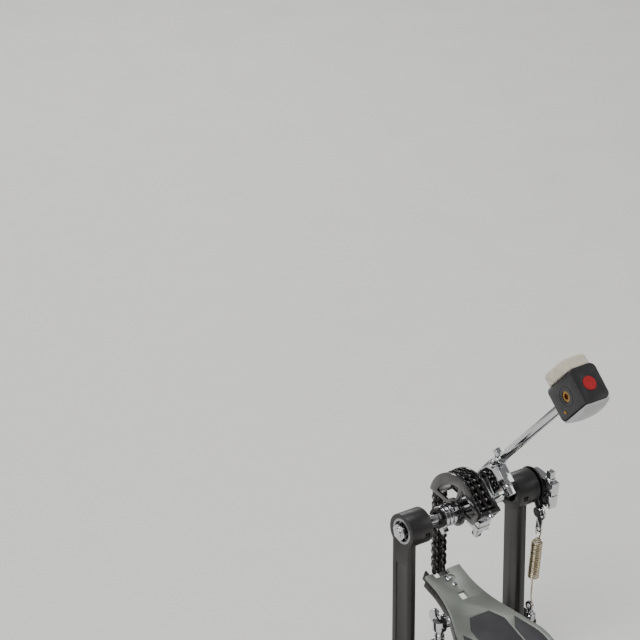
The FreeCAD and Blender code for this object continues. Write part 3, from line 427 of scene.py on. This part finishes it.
def smooth(mesh, angle=32):
    """Smooth shading, with edges sharper than the angle kept crisp."""
    mesh.polygons.foreach_set("use_smooth", [True] * len(mesh.polygons))
    mesh.set_sharp_from_angle(angle=math.radians(angle))


def baked(piece):
    """A plain mesh of an object's evaluated modifiers; the object is then removed."""
    depsgraph = bpy.context.evaluated_depsgraph_get()
    mesh = bpy.data.meshes.new_from_object(piece.evaluated_get(depsgraph), depsgraph=depsgraph)
    bpy.data.objects.remove(piece)
    return mesh


def bevelled(mesh, width, segments=2, angle=32):
    """The mesh with its edges eased."""
    holder = bpy.data.objects.new("easing", mesh)
    bpy.context.scene.collection.objects.link(holder)
    bevel = holder.modifiers.new("easing", "BEVEL")
    bevel.width = width
    bevel.segments = segments
    bevel.limit_method = "ANGLE"
    bevel.angle_limit = math.radians(angle)
    bevel.use_clamp_overlap = True
    bevel.harden_normals = False
    result = baked(holder)
    smooth(result, 40)
    return result


def merged_copy(node):
    """A CAD node's mesh with its loose triangles merged and its flats joined."""
    mesh = frame["nodes"][node].data.copy()
    mesh.materials.clear()
    shape = bmesh.new()
    shape.from_mesh(mesh)
    bmesh.ops.remove_doubles(shape, verts=shape.verts, dist=2e-6)
    bmesh.ops.dissolve_degenerate(shape, edges=shape.edges, dist=1e-6)
    bmesh.ops.dissolve_limit(shape, angle_limit=math.radians(0.6), verts=shape.verts, edges=shape.edges)
    shape.to_mesh(mesh)
    shape.free()
    return mesh


def ease(node, name, finish_name, body, width, segments=2):
    """A CAD node with eased edges, which catch the light as real ones do."""
    mesh = bevelled(merged_copy(node), width, segments)
    return settle(mesh, name, finish_name, body, node)


def solid_of_revolution(profile, steps, turn=None):
    """A closed mesh turned about +Z from (radius, height) points that start and end on the axis."""
    shape = bmesh.new()
    rings = []
    for radius, height in profile:
        if radius == 0:
            rings.append([shape.verts.new((0, 0, height))])
            continue
        rings.append([shape.verts.new((radius * math.cos(a), radius * math.sin(a), height))
                      for a in (2 * math.pi * k / steps for k in range(steps))])
    for low, high in zip(rings, rings[1:]):
        for k in range(steps):
            j = (k + 1) % steps
            corners = [low[k % len(low)], low[j % len(low)], high[j % len(high)], high[k % len(high)]]
            unique = list(dict.fromkeys(corners))
            if len(unique) > 2:
                shape.faces.new(unique)
    bmesh.ops.recalc_face_normals(shape, faces=shape.faces)
    mesh = bpy.data.meshes.new("turned")
    shape.to_mesh(mesh)
    shape.free()
    if turn is not None:
        mesh.transform(turn)
    return mesh


def turned_ring(profile, steps, turn=None, lobes=0):
    """A closed section turned about +Z: (radius, height, depth of the hollow between lobes) in mm."""
    shape = bmesh.new()
    rows = []
    for radius, height, hollow in profile:
        row = []
        for a in (2 * math.pi * k / steps for k in range(steps)):
            out = (radius - hollow * (1 - math.cos(lobes * a)) / 2) * MM
            row.append(shape.verts.new((out * math.cos(a), out * math.sin(a), height * MM)))
        rows.append(row)
    for first, second in zip(rows, rows[1:] + rows[:1]):
        for k in range(steps):
            j = (k + 1) % steps
            shape.faces.new((first[k], first[j], second[j], second[k]))
    bmesh.ops.recalc_face_normals(shape, faces=shape.faces)
    mesh = bpy.data.meshes.new("ring")
    shape.to_mesh(mesh)
    shape.free()
    if turn is not None:
        mesh.transform(turn)
    return mesh


def joined(*meshes):
    """Several meshes as one."""
    shape = bmesh.new()
    for mesh in meshes:
        shape.from_mesh(mesh)
    result = bpy.data.meshes.new("joined")
    shape.to_mesh(result)
    shape.free()
    return result


def tube(points, radius, steps=12):
    """A round wire along a smooth line through the points, with closed ends."""
    curve = bpy.data.curves.new("wire", "CURVE")
    curve.dimensions = "3D"
    curve.bevel_depth = radius
    curve.bevel_resolution = max(1, steps // 4 - 1)
    curve.use_fill_caps = True
    line = curve.splines.new("NURBS")
    line.points.add(len(points) - 1)
    for point, place in zip(line.points, points):
        point.co = (*place, 1)
    line.order_u = 3
    line.use_endpoint_u = True
    line.resolution_u = 6
    holder = bpy.data.objects.new("wire", curve)
    bpy.context.scene.collection.objects.link(holder)
    mesh = baked(holder)
    smooth(mesh, 60)
    return mesh


# ---------------------------------------------------------------- geometry node trees

def new_tree(name, inputs):
    """A geometry tree with its input and output sockets; inputs are (name, type, default)."""
    tree = bpy.data.node_groups.new(name, "GeometryNodeTree")
    tree.interface.new_socket("Geometry", in_out="INPUT", socket_type="NodeSocketGeometry")
    for label, kind, default in inputs:
        socket = tree.interface.new_socket(label, in_out="INPUT", socket_type=kind)
        if default is not None:
            socket.default_value = default
    tree.interface.new_socket("Geometry", in_out="OUTPUT", socket_type="NodeSocketGeometry")
    return tree, add(tree, "NodeGroupInput").outputs


def end_tree(tree, geometry, taken):
    """Realizes the instances, sets the material and closes the tree."""
    real = add(tree, "GeometryNodeRealizeInstances", {"Geometry": geometry})
    dressed = add(tree, "GeometryNodeSetMaterial", {"Geometry": real.outputs[0],
                                                    "Material": taken["Material"]})
    add(tree, "NodeGroupOutput", {"Geometry": dressed.outputs[0]})
    return tree


def run_tree(tree, mesh, values):
    """Evaluates a tree on a mesh with its inputs set by name, and returns the plain mesh."""
    holder = bpy.data.objects.new(tree.name, mesh)
    modifier = holder.modifiers.new(tree.name, "NODES")
    modifier.node_group = tree
    for item in tree.interface.items_tree:
        if item.in_out == "INPUT" and item.name in values:
            modifier[item.identifier] = values[item.name]
    bpy.context.scene.collection.objects.link(holder)
    return baked(holder)


def helix_tree():
    """A wire wound about +Z: radius, wire, turns, height and rounds per turn."""
    tree, taken = new_tree("wound_wire", (
        ("Radius", "NodeSocketFloat", 0.004), ("Wire", "NodeSocketFloat", 0.0006),
        ("Turns", "NodeSocketFloat", 10.0), ("Rise", "NodeSocketFloat", 0.03),
        ("Steps", "NodeSocketInt", 20), ("Sides", "NodeSocketInt", 8),
        ("Material", "NodeSocketMaterial", None)))
    line = add(tree, "GeometryNodeCurveSpiral", {
        "Resolution": taken["Steps"], "Rotations": taken["Turns"], "Start Radius": taken["Radius"],
        "End Radius": taken["Radius"], "Height": taken["Rise"]})
    ring = add(tree, "GeometryNodeCurvePrimitiveCircle", {"Resolution": taken["Sides"],
                                                          "Radius": taken["Wire"]})
    wound = add(tree, "GeometryNodeCurveToMesh", {"Curve": line.outputs[0],
                                                  "Profile Curve": ring.outputs[0], "Fill Caps": True})
    return end_tree(tree, wound.outputs[0], taken)


def along_tree():
    """A shape set on every point, turned by the point's own angle about X, Y and Z."""
    tree, taken = new_tree("set_on_points", (
        ("Shape", "NodeSocketObject", None), ("Material", "NodeSocketMaterial", None)))
    shape = add(tree, "GeometryNodeObjectInfo", {"Object": taken["Shape"]})
    turn = add(tree, "GeometryNodeInputNamedAttribute", {"Name": "turn"}, data_type="FLOAT_VECTOR")
    spin = add(tree, "FunctionNodeEulerToRotation", {"Euler": turn.outputs["Attribute"]})
    placed = add(tree, "GeometryNodeInstanceOnPoints", {
        "Points": taken["Geometry"], "Instance": shape.outputs["Geometry"],
        "Rotation": spin.outputs["Rotation"]})
    return end_tree(tree, placed.outputs[0], taken)


def tree_named(name, maker):
    """A geometry tree, made once."""
    return bpy.data.node_groups.get(name) or maker()


def wind(radius, wire, turns, rise, finish_name, steps=20, sides=8):
    """A helix about +Z from the height 0 up."""
    values = {"Radius": radius, "Wire": wire, "Turns": float(turns), "Rise": rise,
              "Steps": steps, "Sides": sides, "Material": finish(finish_name)}
    mesh = run_tree(tree_named("wound_wire", helix_tree), bpy.data.meshes.new("start"), values)
    smooth(mesh, 60)
    return mesh


def repeat(shape_mesh, places, finish_name):
    """Copies of a mesh at (point, turn) places, as one mesh."""
    points = bpy.data.meshes.new("places")
    points.from_pydata([tuple(p) for p, _ in places], [], [])
    turns = points.attributes.new("turn", "FLOAT_VECTOR", "POINT")
    for item, (_, turn) in zip(turns.data, places):
        item.vector = turn
    shape = bpy.data.objects.new("repeated_shape", shape_mesh)
    values = {"Shape": shape, "Material": finish(finish_name)}
    mesh = run_tree(tree_named("set_on_points", along_tree), points, values)
    bpy.data.objects.remove(shape)
    smooth(mesh, 40)
    return mesh


# ---------------------------------------------------------------- the frame's own nodes

# The wheel's clamp is tipped forward of the beater's line, and its shell is two halves, from
# the lower to the upper height in mm from the axle.
CLAMP_TIP = math.radians(24)
CLAMP_HALVES = ((-13.2, -8.1), (-7.5, -1.8))
CLAMP_MIDDLE = (7.5 * MM, -11.3 * MM)
CLAMP_WIDE, CLAMP_DEEP = 12.4 * MM, 14.8 * MM

EASED_CASTINGS = (
    ("front_casting", "cast_foot"), ("left_post", "left_upright"), ("right_post", "right_upright"),
    ("heel_plate", "heel_casting"))
EASED_CHROME = (
    ("beater_holder", "beater_holder_block", "drive"), ("rocker_clamp", "split_rocker_clamp", "drive"),
    ("holder_key_bolt", "holder_square_bolt", "drive"), ("rocker_key_bolt", "rocker_square_bolt", "drive"),
    ("wheel_clamp_bolt", "wheel_square_bolt", "drive"), ("clamp_collar", "ribbed_collar", "drive"),
    ("collar_screw", "collar_square_screw", "drive"), ("axle_nut", "axle_end_nut", "drive"),
    ("hex_axle", "hexagon_axle", "drive"), ("memory_lock", "shaft_memory_lock", "shaft"),
    ("beater_shaft", "beater_rod", "shaft"), ("spring_link", "spring_stirrup", "spring_top"),
    ("wing_bolt", "clamp_wing_bolt", "wing"), ("chain_bolt", "toe_chain_bolt", "board"),
    ("toe_screw", "toe_round_screw", "board"), ("chain_end_screw", "chain_fixing_screw", "drive"))
EASED_BLACK = (
    ("spring_bracket", "spring_arm", "frame"), ("rocker_disc", "rocker_plate", "drive"),
    ("toe_bracket", "chain_bracket", "board"), ("footboard_frame", "board_underframe", "board"))


class PEDAL_OT_dress_frame(bpy.types.Operator):
    """Give every CAD node that stays in sight the material of its slot."""

    bl_idname = "pedal.dress_frame"
    bl_label = "Dress Frame"

    def execute(self, context):
        slots = {s["node"]: s["material_slot"] for s in frame["record"]["subparts"]}
        for name, node in frame["nodes"].items():
            material = finish(slots[name])
            if not node.material_slots:
                node.data.materials.append(material)
            for holder in node.material_slots:
                holder.material = material
        return {"FINISHED"}


class PEDAL_OT_castings(bpy.types.Operator):
    """Ease the edges of the cast parts, the plate, the jaw and the black steel parts."""

    bl_idname = "pedal.castings"
    bl_label = "Castings"

    def execute(self, context):
        edge = sizes().edge
        for node, name in EASED_CASTINGS:
            ease(node, name, "black_casting", "frame", edge, 3)
        ease("base_plate", "steel_base", "base_steel", "frame", edge)
        ease("rubber_mat", "ribbed_mat", "mat_rubber", "frame", edge)
        ease("clamp_jaw", "hoop_jaw", "black_casting", "jaw", edge, 3)
        ease("jaw_pad", "jaw_rubber", "grip_rubber", "jaw", edge)
        ease("drive_wheel", "flanged_wheel", "gloss_casting", "drive", edge / 2)
        for node, name, body in EASED_BLACK:
            ease(node, name, "black_steel", body, edge * 0.6)
        return {"FINISHED"}


class PEDAL_OT_bright_parts(bpy.types.Operator):
    """Ease the edges of the plated blocks, bolts and bars."""

    bl_idname = "pedal.bright_parts"
    bl_label = "Bright Parts"

    def execute(self, context):
        for node, name, body in EASED_CHROME:
            ease(node, name, "bright_chrome", body, sizes().bright_edge)
        self.wheel_jaw()
        return {"FINISHED"}


    def wheel_jaw(self):
        """A plated shell over the wheel's clamp, split across its middle."""
        tipped = Matrix.Translation((0, 0, AXLE_UP)) @ Matrix.Rotation(LEAN - CLAMP_TIP, 4, "X")
        halves = []
        for low, high in CLAMP_HALVES:
            shape = bmesh.new()
            bmesh.ops.create_cube(shape, size=1.0)
            place = Matrix.Translation((*CLAMP_MIDDLE, (low + high) / 2 * MM))
            scale = Matrix.Diagonal((CLAMP_WIDE, CLAMP_DEEP, (high - low) * MM, 1))
            bmesh.ops.transform(shape, matrix=tipped @ place @ scale, verts=shape.verts)
            mesh = bpy.data.meshes.new("jaw")
            shape.to_mesh(mesh)
            shape.free()
            halves.append(bevelled(mesh, 0.6 * MM, 3))
        settle(joined(*halves), "wheel_clamp_jaw", "bright_chrome", "drive")


class PEDAL_OT_footboard(bpy.types.Operator):
    """Ease the footboard's rim and the grip inlays."""

    bl_idname = "pedal.footboard"
    bl_label = "Footboard"

    def execute(self, context):
        ease("footboard", "board_plate", "board_aluminium", "board", sizes().edge, 3)
        ease("grip_pads", "honeycomb_inlays", "grip_rubber", "board", sizes().edge / 2)
        return {"FINISHED"}


# ---------------------------------------------------------------- chain

PITCH_RADIUS = 30.37 * MM
CHAIN_SIDE = -3.0 * MM
STRAND_SIDE = 3.2 * MM
INNER_LAYERS = [(side * 3.2 + low) * MM for side in (-1, 1) for low in (-2.15, 1.35)]
OUTER_LAYERS = [x * MM for x in (-6.3, -0.9, 0.1, 5.5)]
PLATE = 0.8 * MM
HANGING_LINKS = 11
LEAVING_LINKS = 4


def chain_pins(pitch):
    """Pin places from the hanging end, up round the wheel and along its flat."""
    axle = Vector((CHAIN_SIDE, 0, AXLE_UP))
    pins = [axle + Vector((0, PITCH_RADIUS, -pitch * n)) for n in range(HANGING_LINKS, 0, -1)]
    for angle in (math.radians(a) for a in range(0, 97, 12)):
        pins.append(axle + PITCH_RADIUS * Vector((0, math.cos(angle), math.sin(angle))))
    flat = math.pi + LEAN
    for angle in (math.radians(193), math.radians(206), math.radians(220), flat, flat):
        pins.append(pins[-1] + pitch * Vector((0, math.cos(angle), math.sin(angle))))
    return pins


def plate_mesh(pitch, layers):
    """Waisted side plates along +Y from the first pin, one at each layer along X."""
    end = 2.85 * MM
    waist = 2.0 * MM
    outline = [(end * math.cos(a), end * math.sin(a))
               for a in (math.radians(60 + 24 * k) for k in range(11))]
    outline.append((pitch / 2, -waist))
    outline += [(pitch + end * math.cos(a), end * math.sin(a))
                for a in (math.radians(-120 + 24 * k) for k in range(11))]
    outline.append((pitch / 2, waist))
    shape = bmesh.new()
    for low in layers:
        face = shape.faces.new([shape.verts.new((low, y, z)) for y, z in outline])
        lifted = bmesh.ops.extrude_face_region(shape, geom=[face])["geom"]
        corners = [v for v in lifted if isinstance(v, bmesh.types.BMVert)]
        bmesh.ops.translate(shape, verts=corners, vec=(PLATE, 0, 0))
    bmesh.ops.recalc_face_normals(shape, faces=shape.faces)
    mesh = bpy.data.meshes.new("plates")
    shape.to_mesh(mesh)
    shape.free()
    return bevelled(mesh, 0.14 * MM, 1, 50)


def rollers_mesh(pitch):
    """The rollers of one inner link, between its plates at both pins."""
    lay = Matrix.Rotation(math.radians(90), 4, "Y")
    reach = 1.3 * MM
    profile = [(0, -reach), (1.5 * MM, -reach), (1.65 * MM, -reach * 0.8), (1.65 * MM, reach * 0.8),
               (1.5 * MM, reach), (0, reach)]
    return joined(*[solid_of_revolution(profile, 14, Matrix.Translation((side * STRAND_SIDE, y, 0)) @ lay)
                    for side in (-1, 1) for y in (0, pitch)])


def pins_mesh(pitch):
    """The two riveted pins of one outer link, with rounded heads outside its plates."""
    lay = Matrix.Rotation(math.radians(90), 4, "Y")
    reach = 6.9 * MM
    profile = [(0, -reach), (0.8 * MM, -reach), (1.15 * MM, -reach + 0.3 * MM),
               (1.15 * MM, reach - 0.3 * MM), (0.8 * MM, reach), (0, reach)]
    return joined(*[solid_of_revolution(profile, 14, Matrix.Translation((0, y, 0)) @ lay)
                    for y in (0, pitch)])


class PEDAL_OT_chain(bpy.types.Operator):
    """Set plates, rollers and pins on every link of the duplex chain."""

    bl_idname = "pedal.chain"
    bl_label = "Chain"

    def execute(self, context):
        pitch = sizes().chain_pitch
        pins = chain_pins(pitch)
        links = []
        for start, end in zip(pins, pins[1:]):
            along = end - start
            links.append((start, (math.atan2(along.z, along.y), 0, 0)))
        spans = [("strand", "chain_strand", range(0, HANGING_LINKS))]
        for number in range(LEAVING_LINKS):
            spans.append(("chain_2" if number < 2 else "chain_4", "chain_link_%d" % (number + 1),
                          range(HANGING_LINKS + number, HANGING_LINKS + number + 1)))
        spans.append(("drive", "chain_wrap", range(HANGING_LINKS + LEAVING_LINKS, len(links))))
        for body, node, numbers in spans:
            inner = [links[n] for n in numbers if n % 2 == 0]
            outer = [links[n] for n in numbers if n % 2 == 1]
            plates, bright = [], []
            if inner:
                plates.append(repeat(plate_mesh(pitch, INNER_LAYERS), inner, "chain_steel"))
                bright.append(repeat(rollers_mesh(pitch), inner, "worn_chain"))
            if outer:
                plates.append(repeat(plate_mesh(pitch, OUTER_LAYERS), outer, "chain_steel"))
                bright.append(repeat(pins_mesh(pitch), outer, "worn_chain"))
            for suffix, meshes, name in (("plates", plates, "chain_steel"),
                                         ("rollers", bright, "worn_chain")):
                mesh = joined(*meshes)
                mesh.materials.clear()
                smooth(mesh, 40)
                stands_for = (node,) if suffix == "plates" else ()
                settle(mesh, "%s_%s" % (node, suffix), name, body, *stands_for)
        return {"FINISHED"}


# ---------------------------------------------------------------- return spring

# The spring's lean in degrees, then heights along it from the eye rod's ring.
SPRING_TILT = 6.73
COIL_LOW = 28.8 * MM
COIL_HIGH = 65.49 * MM
HOOK_HIGH = 77.99 * MM


class PEDAL_OT_spring(bpy.types.Operator):
    """Wind the return spring's coil, with a hook at each end."""

    bl_idname = "pedal.spring"
    bl_label = "Return Spring"

    def execute(self, context):
        ring_low, ring_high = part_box("eye_rod")
        eye = Vector((ring_low[0] / 2 + ring_high[0] / 2, ring_low[1] / 2 + ring_high[1] / 2,
                      ring_high[2] - 4.2 * MM))
        stand = Matrix.Translation(eye) @ Matrix.Rotation(math.radians(SPRING_TILT), 4, "X")
        coil_low, coil_high = COIL_LOW, COIL_HIGH
        wire = sizes().wire
        middle = sizes().coil / 2 - wire / 2
        rise = coil_high - coil_low - wire
        body = wind(middle, wire / 2, sizes().turns, rise, "spring_steel", 22, 8)
        body.transform(Matrix.Translation((0, 0, coil_low + wire / 2)))
        bottom = coil_low + wire / 2
        lower = tube([(middle, 0, bottom), (middle, 0.6 * middle, bottom - 0.5 * wire),
                      (0.3 * middle, 0.8 * middle, bottom - 0.9 * wire),
                      (0, 0.3 * middle, bottom - 1.4 * wire), (0, 0, bottom - 3.4 * wire),
                      (0, 0, 12 * MM), (0, -1.2 * MM, 6 * MM), (0, -3.2 * MM, 2 * MM),
                      (0, -3.0 * MM, -2 * MM), (0, 0, -3.9 * MM), (0, 3.1 * MM, -2.0 * MM),
                      (0, 3.1 * MM, 1.0 * MM), (0, 1.9 * MM, 3.6 * MM)], wire / 2)
        top = coil_high - wire / 2
        hook = HOOK_HIGH
        upper = tube([(middle, 0, top), (middle, 0.6 * middle, top + 0.5 * wire),
                      (0.3 * middle, 0.8 * middle, top + 0.9 * wire),
                      (0, 0.5 * middle, top + 1.4 * wire), (0, -1.2 * MM, top + 2.6 * MM),
                      (0, -3.2 * MM, hook - 4.2 * MM), (0, -2.6 * MM, hook + 0.2 * MM),
                      (0, 0, hook + 1.6 * MM), (0, 2.6 * MM, hook + 0.2 * MM),
                      (0, 3.2 * MM, hook - 4.2 * MM), (0, 2.0 * MM, hook - 7.0 * MM)], wire / 2)
        mesh = joined(body, lower, upper)
        mesh.transform(stand)
        smooth(mesh, 60)
        piece = bpy.data.objects.new("coil_spring", mesh)
        mesh.materials.append(finish("spring_steel"))
        context.scene.collection.objects.link(piece)
        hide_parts("return_spring")
        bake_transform(piece)
        return {"FINISHED"}


# ---------------------------------------------------------------- beater head

def crowned_pad(half_wide, half_tall, thick, edge, crown):
    """A pad facing +Y: flat back, rounded sides, a face that swells to its middle."""
    around = 96
    outline = []
    for k in range(around):
        angle = 2 * math.pi * k / around
        c, s = math.cos(angle), math.sin(angle)
        power = 2.0 / 5.0
        outline.append((half_wide * math.copysign(abs(c) ** power, c),
                        half_tall * math.copysign(abs(s) ** power, s)))
    rings = [(1.0 - 0.02, 0.0), (1.0, 0.08 * thick)]
    rings += [(1.0, thick * f) for f in (0.25, 0.4, 0.55)]
    shoulder = thick - crown - edge
    for step in range(1, 7):
        bend = math.radians(15 * step)
        rings.append((1.0 - edge * (1 - math.cos(bend)) / half_wide, shoulder + edge * math.sin(bend)))
    last = rings[-1][0]
    for step in range(1, 14):
        part = last * (1 - step / 14)
        rings.append((part, thick - crown * (part / last) ** 2))
    shape = bmesh.new()
    rows = [[shape.verts.new((x * part, y, z * part)) for x, z in outline] for part, y in rings]
    for lower, upper in zip(rows, rows[1:]):
        for k in range(around):
            j = (k + 1) % around
            shape.faces.new((lower[k], lower[j], upper[j], upper[k]))
    tip = shape.verts.new((0, thick, 0))
    heel = shape.verts.new((0, 0, 0))
    for k in range(around):
        j = (k + 1) % around
        shape.faces.new((rows[-1][k], rows[-1][j], tip))
        shape.faces.new((rows[0][j], rows[0][k], heel))
    bmesh.ops.recalc_face_normals(shape, faces=shape.faces)
    mesh = bpy.data.meshes.new("pad")
    shape.to_mesh(mesh)
    shape.free()
    return mesh


class PEDAL_OT_beater_head(bpy.types.Operator):
    """Press the felt, round the hard face's edges and finish the head's body."""

    bl_idname = "pedal.beater_head"
    bl_label = "Beater Head"

    def execute(self, context):
        upright = AXLE.inverted()
        corners = [upright @ v.co for v in frame["nodes"]["beater_felt"].data.vertices]
        low = Vector([min(c[i] for c in corners) for i in range(3)])
        high = Vector([max(c[i] for c in corners) for i in range(3)])
        middle = (low + high) / 2
        felt = crowned_pad((high.x - low.x) / 2, (high.z - low.z) / 2, high.y - low.y,
                           3.0 * MM, sizes().felt_crown)
        for vertex in felt.vertices:
            ruffle = noise.noise(vertex.co * 900) * 0.25 * MM + noise.noise(vertex.co * 250) * 0.35 * MM
            if vertex.co.y > 0.5 * MM:
                vertex.co += vertex.normal * ruffle
        felt.transform(AXLE @ Matrix.Translation((middle.x, low.y, middle.z)))
        smooth(felt, 80)
        piece = settle(felt, "wool_felt_face", "felt", "head", "beater_felt")
        ease("beater_rear_pad", "hard_face", "rear_plastic", "head", 1.2 * MM, 4)
        ease("beater_body", "head_block", "head_plastic", "head", 0.8 * MM, 3)
        self.side_marks(upright)
        return {"FINISHED"}

    def side_marks(self, upright):
        """A moulded ring round the side screw, and a small screw beside it."""
        hub = upright @ midpoint("beater_side_screw")
        face = min((upright @ v.co).x for v in frame["nodes"]["beater_body"].data.vertices)
        lay = Matrix.Rotation(math.radians(-90), 4, "Y")
        ring = [(7.4, -0.3, 0), (7.6, 0.25, 0), (8.0, 0.35, 0), (8.4, 0.25, 0), (8.6, -0.3, 0)]
        mesh = turned_ring(ring, 64, AXLE @ Matrix.Translation((face, hub.y, hub.z)) @ lay)
        smooth(mesh, 50)
        settle(mesh, "moulded_ring", "head_plastic", "head")
        dot = solid_of_revolution([(0, -0.5 * MM), (1.5 * MM, -0.5 * MM), (1.5 * MM, 0.3 * MM),
                                   (1.1 * MM, 0.6 * MM), (0.6 * MM, 0.5 * MM), (0, 0.45 * MM)], 24)
        dot.transform(AXLE @ Matrix.Translation((face, hub.y - 9.5 * MM, hub.z - 9.5 * MM)) @ lay)
        smooth(dot, 40)
        settle(dot, "head_dot_screw", "brass", "head")


# ---------------------------------------------------------------- threads and knobs

class PEDAL_OT_threads(bpy.types.Operator):
    """Wind the threads of the eye rod, the clamp's bolt and the floor spurs."""

    bl_idname = "pedal.threads"
    bl_label = "Threads"

    def execute(self, context):
        coarse = sizes().thread_pitch
        for node, body, radius, low, high, rise in (
                ("eye_rod", "frame", 2.0, 41, 75, 0.6 * coarse),
                ("wing_bolt", "wing", 4.0, 38, 90, coarse),
                ("left_spur", "left_screw", 4.0, 10, 24, coarse),
                ("right_spur", "right_screw", 4.0, 10, 24, coarse)):
            tall = (high - low) * MM
            mesh = wind(radius * MM, rise * 0.28, tall / rise, tall, "bright_chrome", 18, 5)
            middle = midpoint(node)
            mesh.transform(Matrix.Translation((middle.x, middle.y, low * MM)))
            settle(mesh, node + "_thread", "bright_chrome", body)
        return {"FINISHED"}


class PEDAL_OT_knobs(bpy.types.Operator):
    """Turn the knurled tension nut and the lobed lock knob under it."""

    bl_idname = "pedal.knobs"
    bl_label = "Knobs"

    def execute(self, context):
        bore = 2.05
        middle = midpoint("tension_nut")
        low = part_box("tension_nut")[0][2]
        stand = Matrix.Translation((middle.x, middle.y, low))
        body = turned_ring([(bore, 0, 0), (4.6, 0, 0), (4.95, 0.4, 0), (4.95, 5.6, 0), (4.6, 6.0, 0),
                            (3.6, 6.05, 0), (3.6, 7.7, 0), (3.3, 8.0, 0), (bore, 8.0, 0)], 48)
        rib = bpy.data.meshes.new("rib")
        section = ((4.6, -0.3), (5.18, 0.0), (4.6, 0.3))
        rib.from_pydata([(x * MM, y * MM, z * MM) for z in (0.5, 5.5) for x, y in section], [],
                        [(0, 2, 1), (3, 4, 5), (0, 1, 4, 3), (1, 2, 5, 4), (2, 0, 3, 5)])
        ribs = repeat(rib, [((0, 0, 0), (0, 0, math.radians(12 * k))) for k in range(30)], "bright_chrome")
        nut = joined(body, ribs)
        nut.transform(stand)
        smooth(nut, 35)
        settle(nut, "knurled_tension_nut", "bright_chrome", "nut", "tension_nut")
        knob = turned_ring([(bore, 0, 0), (4.6, 0, 0.7), (5.4, 0.35, 1.1), (5.75, 1.1, 1.4),
                            (5.75, 10.2, 1.4), (5.4, 11.0, 1.1), (4.6, 11.4, 0.6), (3.9, 11.5, 0),
                            (3.9, 13.0, 0), (3.6, 13.3, 0), (bore, 13.3, 0)], 96, lobes=8)
        knob.transform(Matrix.Translation((middle.x, middle.y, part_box("lock_knob")[0][2])))
        smooth(knob, 35)
        settle(knob, "lobed_lock_knob", "black_steel", "knob", "lock_knob")
        return {"FINISHED"}


# ---------------------------------------------------------------- floor, light and camera

FLOOR_HALF = 30.0


class PEDAL_OT_stage(bpy.types.Operator):
    """Lay the pale floor and set the soft lights and the camera."""

    bl_idname = "pedal.stage"
    bl_label = "Stage"

    def execute(self, context):
        reach = FLOOR_HALF
        floor = bpy.data.meshes.new("floor")
        corners = [(-reach, -reach, 0), (reach, -reach, 0), (reach, reach, 0), (-reach, reach, 0)]
        floor.from_pydata(corners, [], [(0, 1, 2, 3)])
        floor.materials.append(finish("floor"))
        ground = bpy.data.objects.new("studio_floor", floor)
        context.scene.collection.objects.link(ground)
        self.lights(context.scene)
        self.camera(context.scene)
        return {"FINISHED"}

    def lights(self, scene):
        """A broad key from the upper left, a fill from the right and a strip behind."""
        aim = Vector((0, 0, 0.12))
        for name, place, width, height, watts in (
                ("key", (-1.5, -0.9, 1.9), 1.1, 1.1, 34), ("top", (0.2, 0.3, 2.2), 1.4, 0.8, 17),
                ("fill", (1.7, -1.2, 1.0), 0.8, 1.2, 5), ("rim", (0.7, 1.9, 1.2), 1.4, 0.4, 14)):
            lamp = bpy.data.lights.new(name, "AREA")
            lamp.shape = "RECTANGLE"
            lamp.size = width
            lamp.size_y = height
            lamp.energy = watts
            holder = bpy.data.objects.new(name, lamp)
            holder.location = place
            holder.rotation_euler = (aim - holder.location).to_track_quat("-Z", "Y").to_euler()
            scene.collection.objects.link(holder)
        world = bpy.data.worlds.new("studio")
        world.use_nodes = True
        shine = world.node_tree.nodes["Background"]
        shine.inputs["Color"].default_value = (1.0, 1.0, 1.0, 1.0)
        shine.inputs["Strength"].default_value = 0.26
        scene.world = world

    def camera(self, scene):
        """A long lens, turned 37.5 degrees round to the left and 25 degrees above the floor."""
        turn = math.radians(-37.5)
        rise = math.radians(25.0)
        right = Vector((math.cos(turn), math.sin(turn), 0))
        back = Vector((math.sin(turn) * math.cos(rise), -math.cos(turn) * math.cos(rise), math.sin(rise)))
        up = back.cross(right)
        aim = Vector((0, 0, AXLE_UP)) - 0.1196 * right + 0.1541 * up
        lens = bpy.data.cameras.new("camera")
        lens.lens = 225
        lens.sensor_width = 36
        holder = bpy.data.objects.new("camera", lens)
        holder.location = aim + 3.28 * back
        holder.rotation_euler = (-back).to_track_quat("-Z", "Y").to_euler()
        scene.collection.objects.link(holder)
        scene.camera = holder


# ---------------------------------------------------------------- add-on

OPERATORS = (
    PEDAL_OT_dress_frame, PEDAL_OT_castings, PEDAL_OT_bright_parts, PEDAL_OT_footboard, PEDAL_OT_chain,
    PEDAL_OT_spring, PEDAL_OT_beater_head, PEDAL_OT_threads, PEDAL_OT_knobs, PEDAL_OT_stage)


class PEDAL_PT_panel(bpy.types.Panel):
    """Lists the pieces that can be built."""

    bl_idname = "PEDAL_PT_panel"
    bl_label = "Bass Drum Pedal"
    bl_space_type = "VIEW_3D"
    bl_region_type = "UI"
    bl_category = "Pedal"

    def draw(self, context):
        for operator in OPERATORS:
            self.layout.operator(operator.bl_idname, text=operator.bl_label)


CLASSES = (PedalSizes, PedalColours, *OPERATORS, PEDAL_PT_panel)


def register():
    for item in CLASSES:
        bpy.utils.register_class(item)
    bpy.types.Scene.pedal_sizes = bpy.props.PointerProperty(type=PedalSizes)
    bpy.types.Scene.pedal_colours = bpy.props.PointerProperty(type=PedalColours)


def unregister():
    del bpy.types.Scene.pedal_colours
    del bpy.types.Scene.pedal_sizes
    for item in reversed(CLASSES):
        bpy.utils.unregister_class(item)


def main():
    """Registers the add-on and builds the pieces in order."""
    register()
    for operator in OPERATORS:
        group, name = operator.bl_idname.split(".")
        getattr(getattr(bpy.ops, group), name)()


if __name__ == "__main__":
    main()
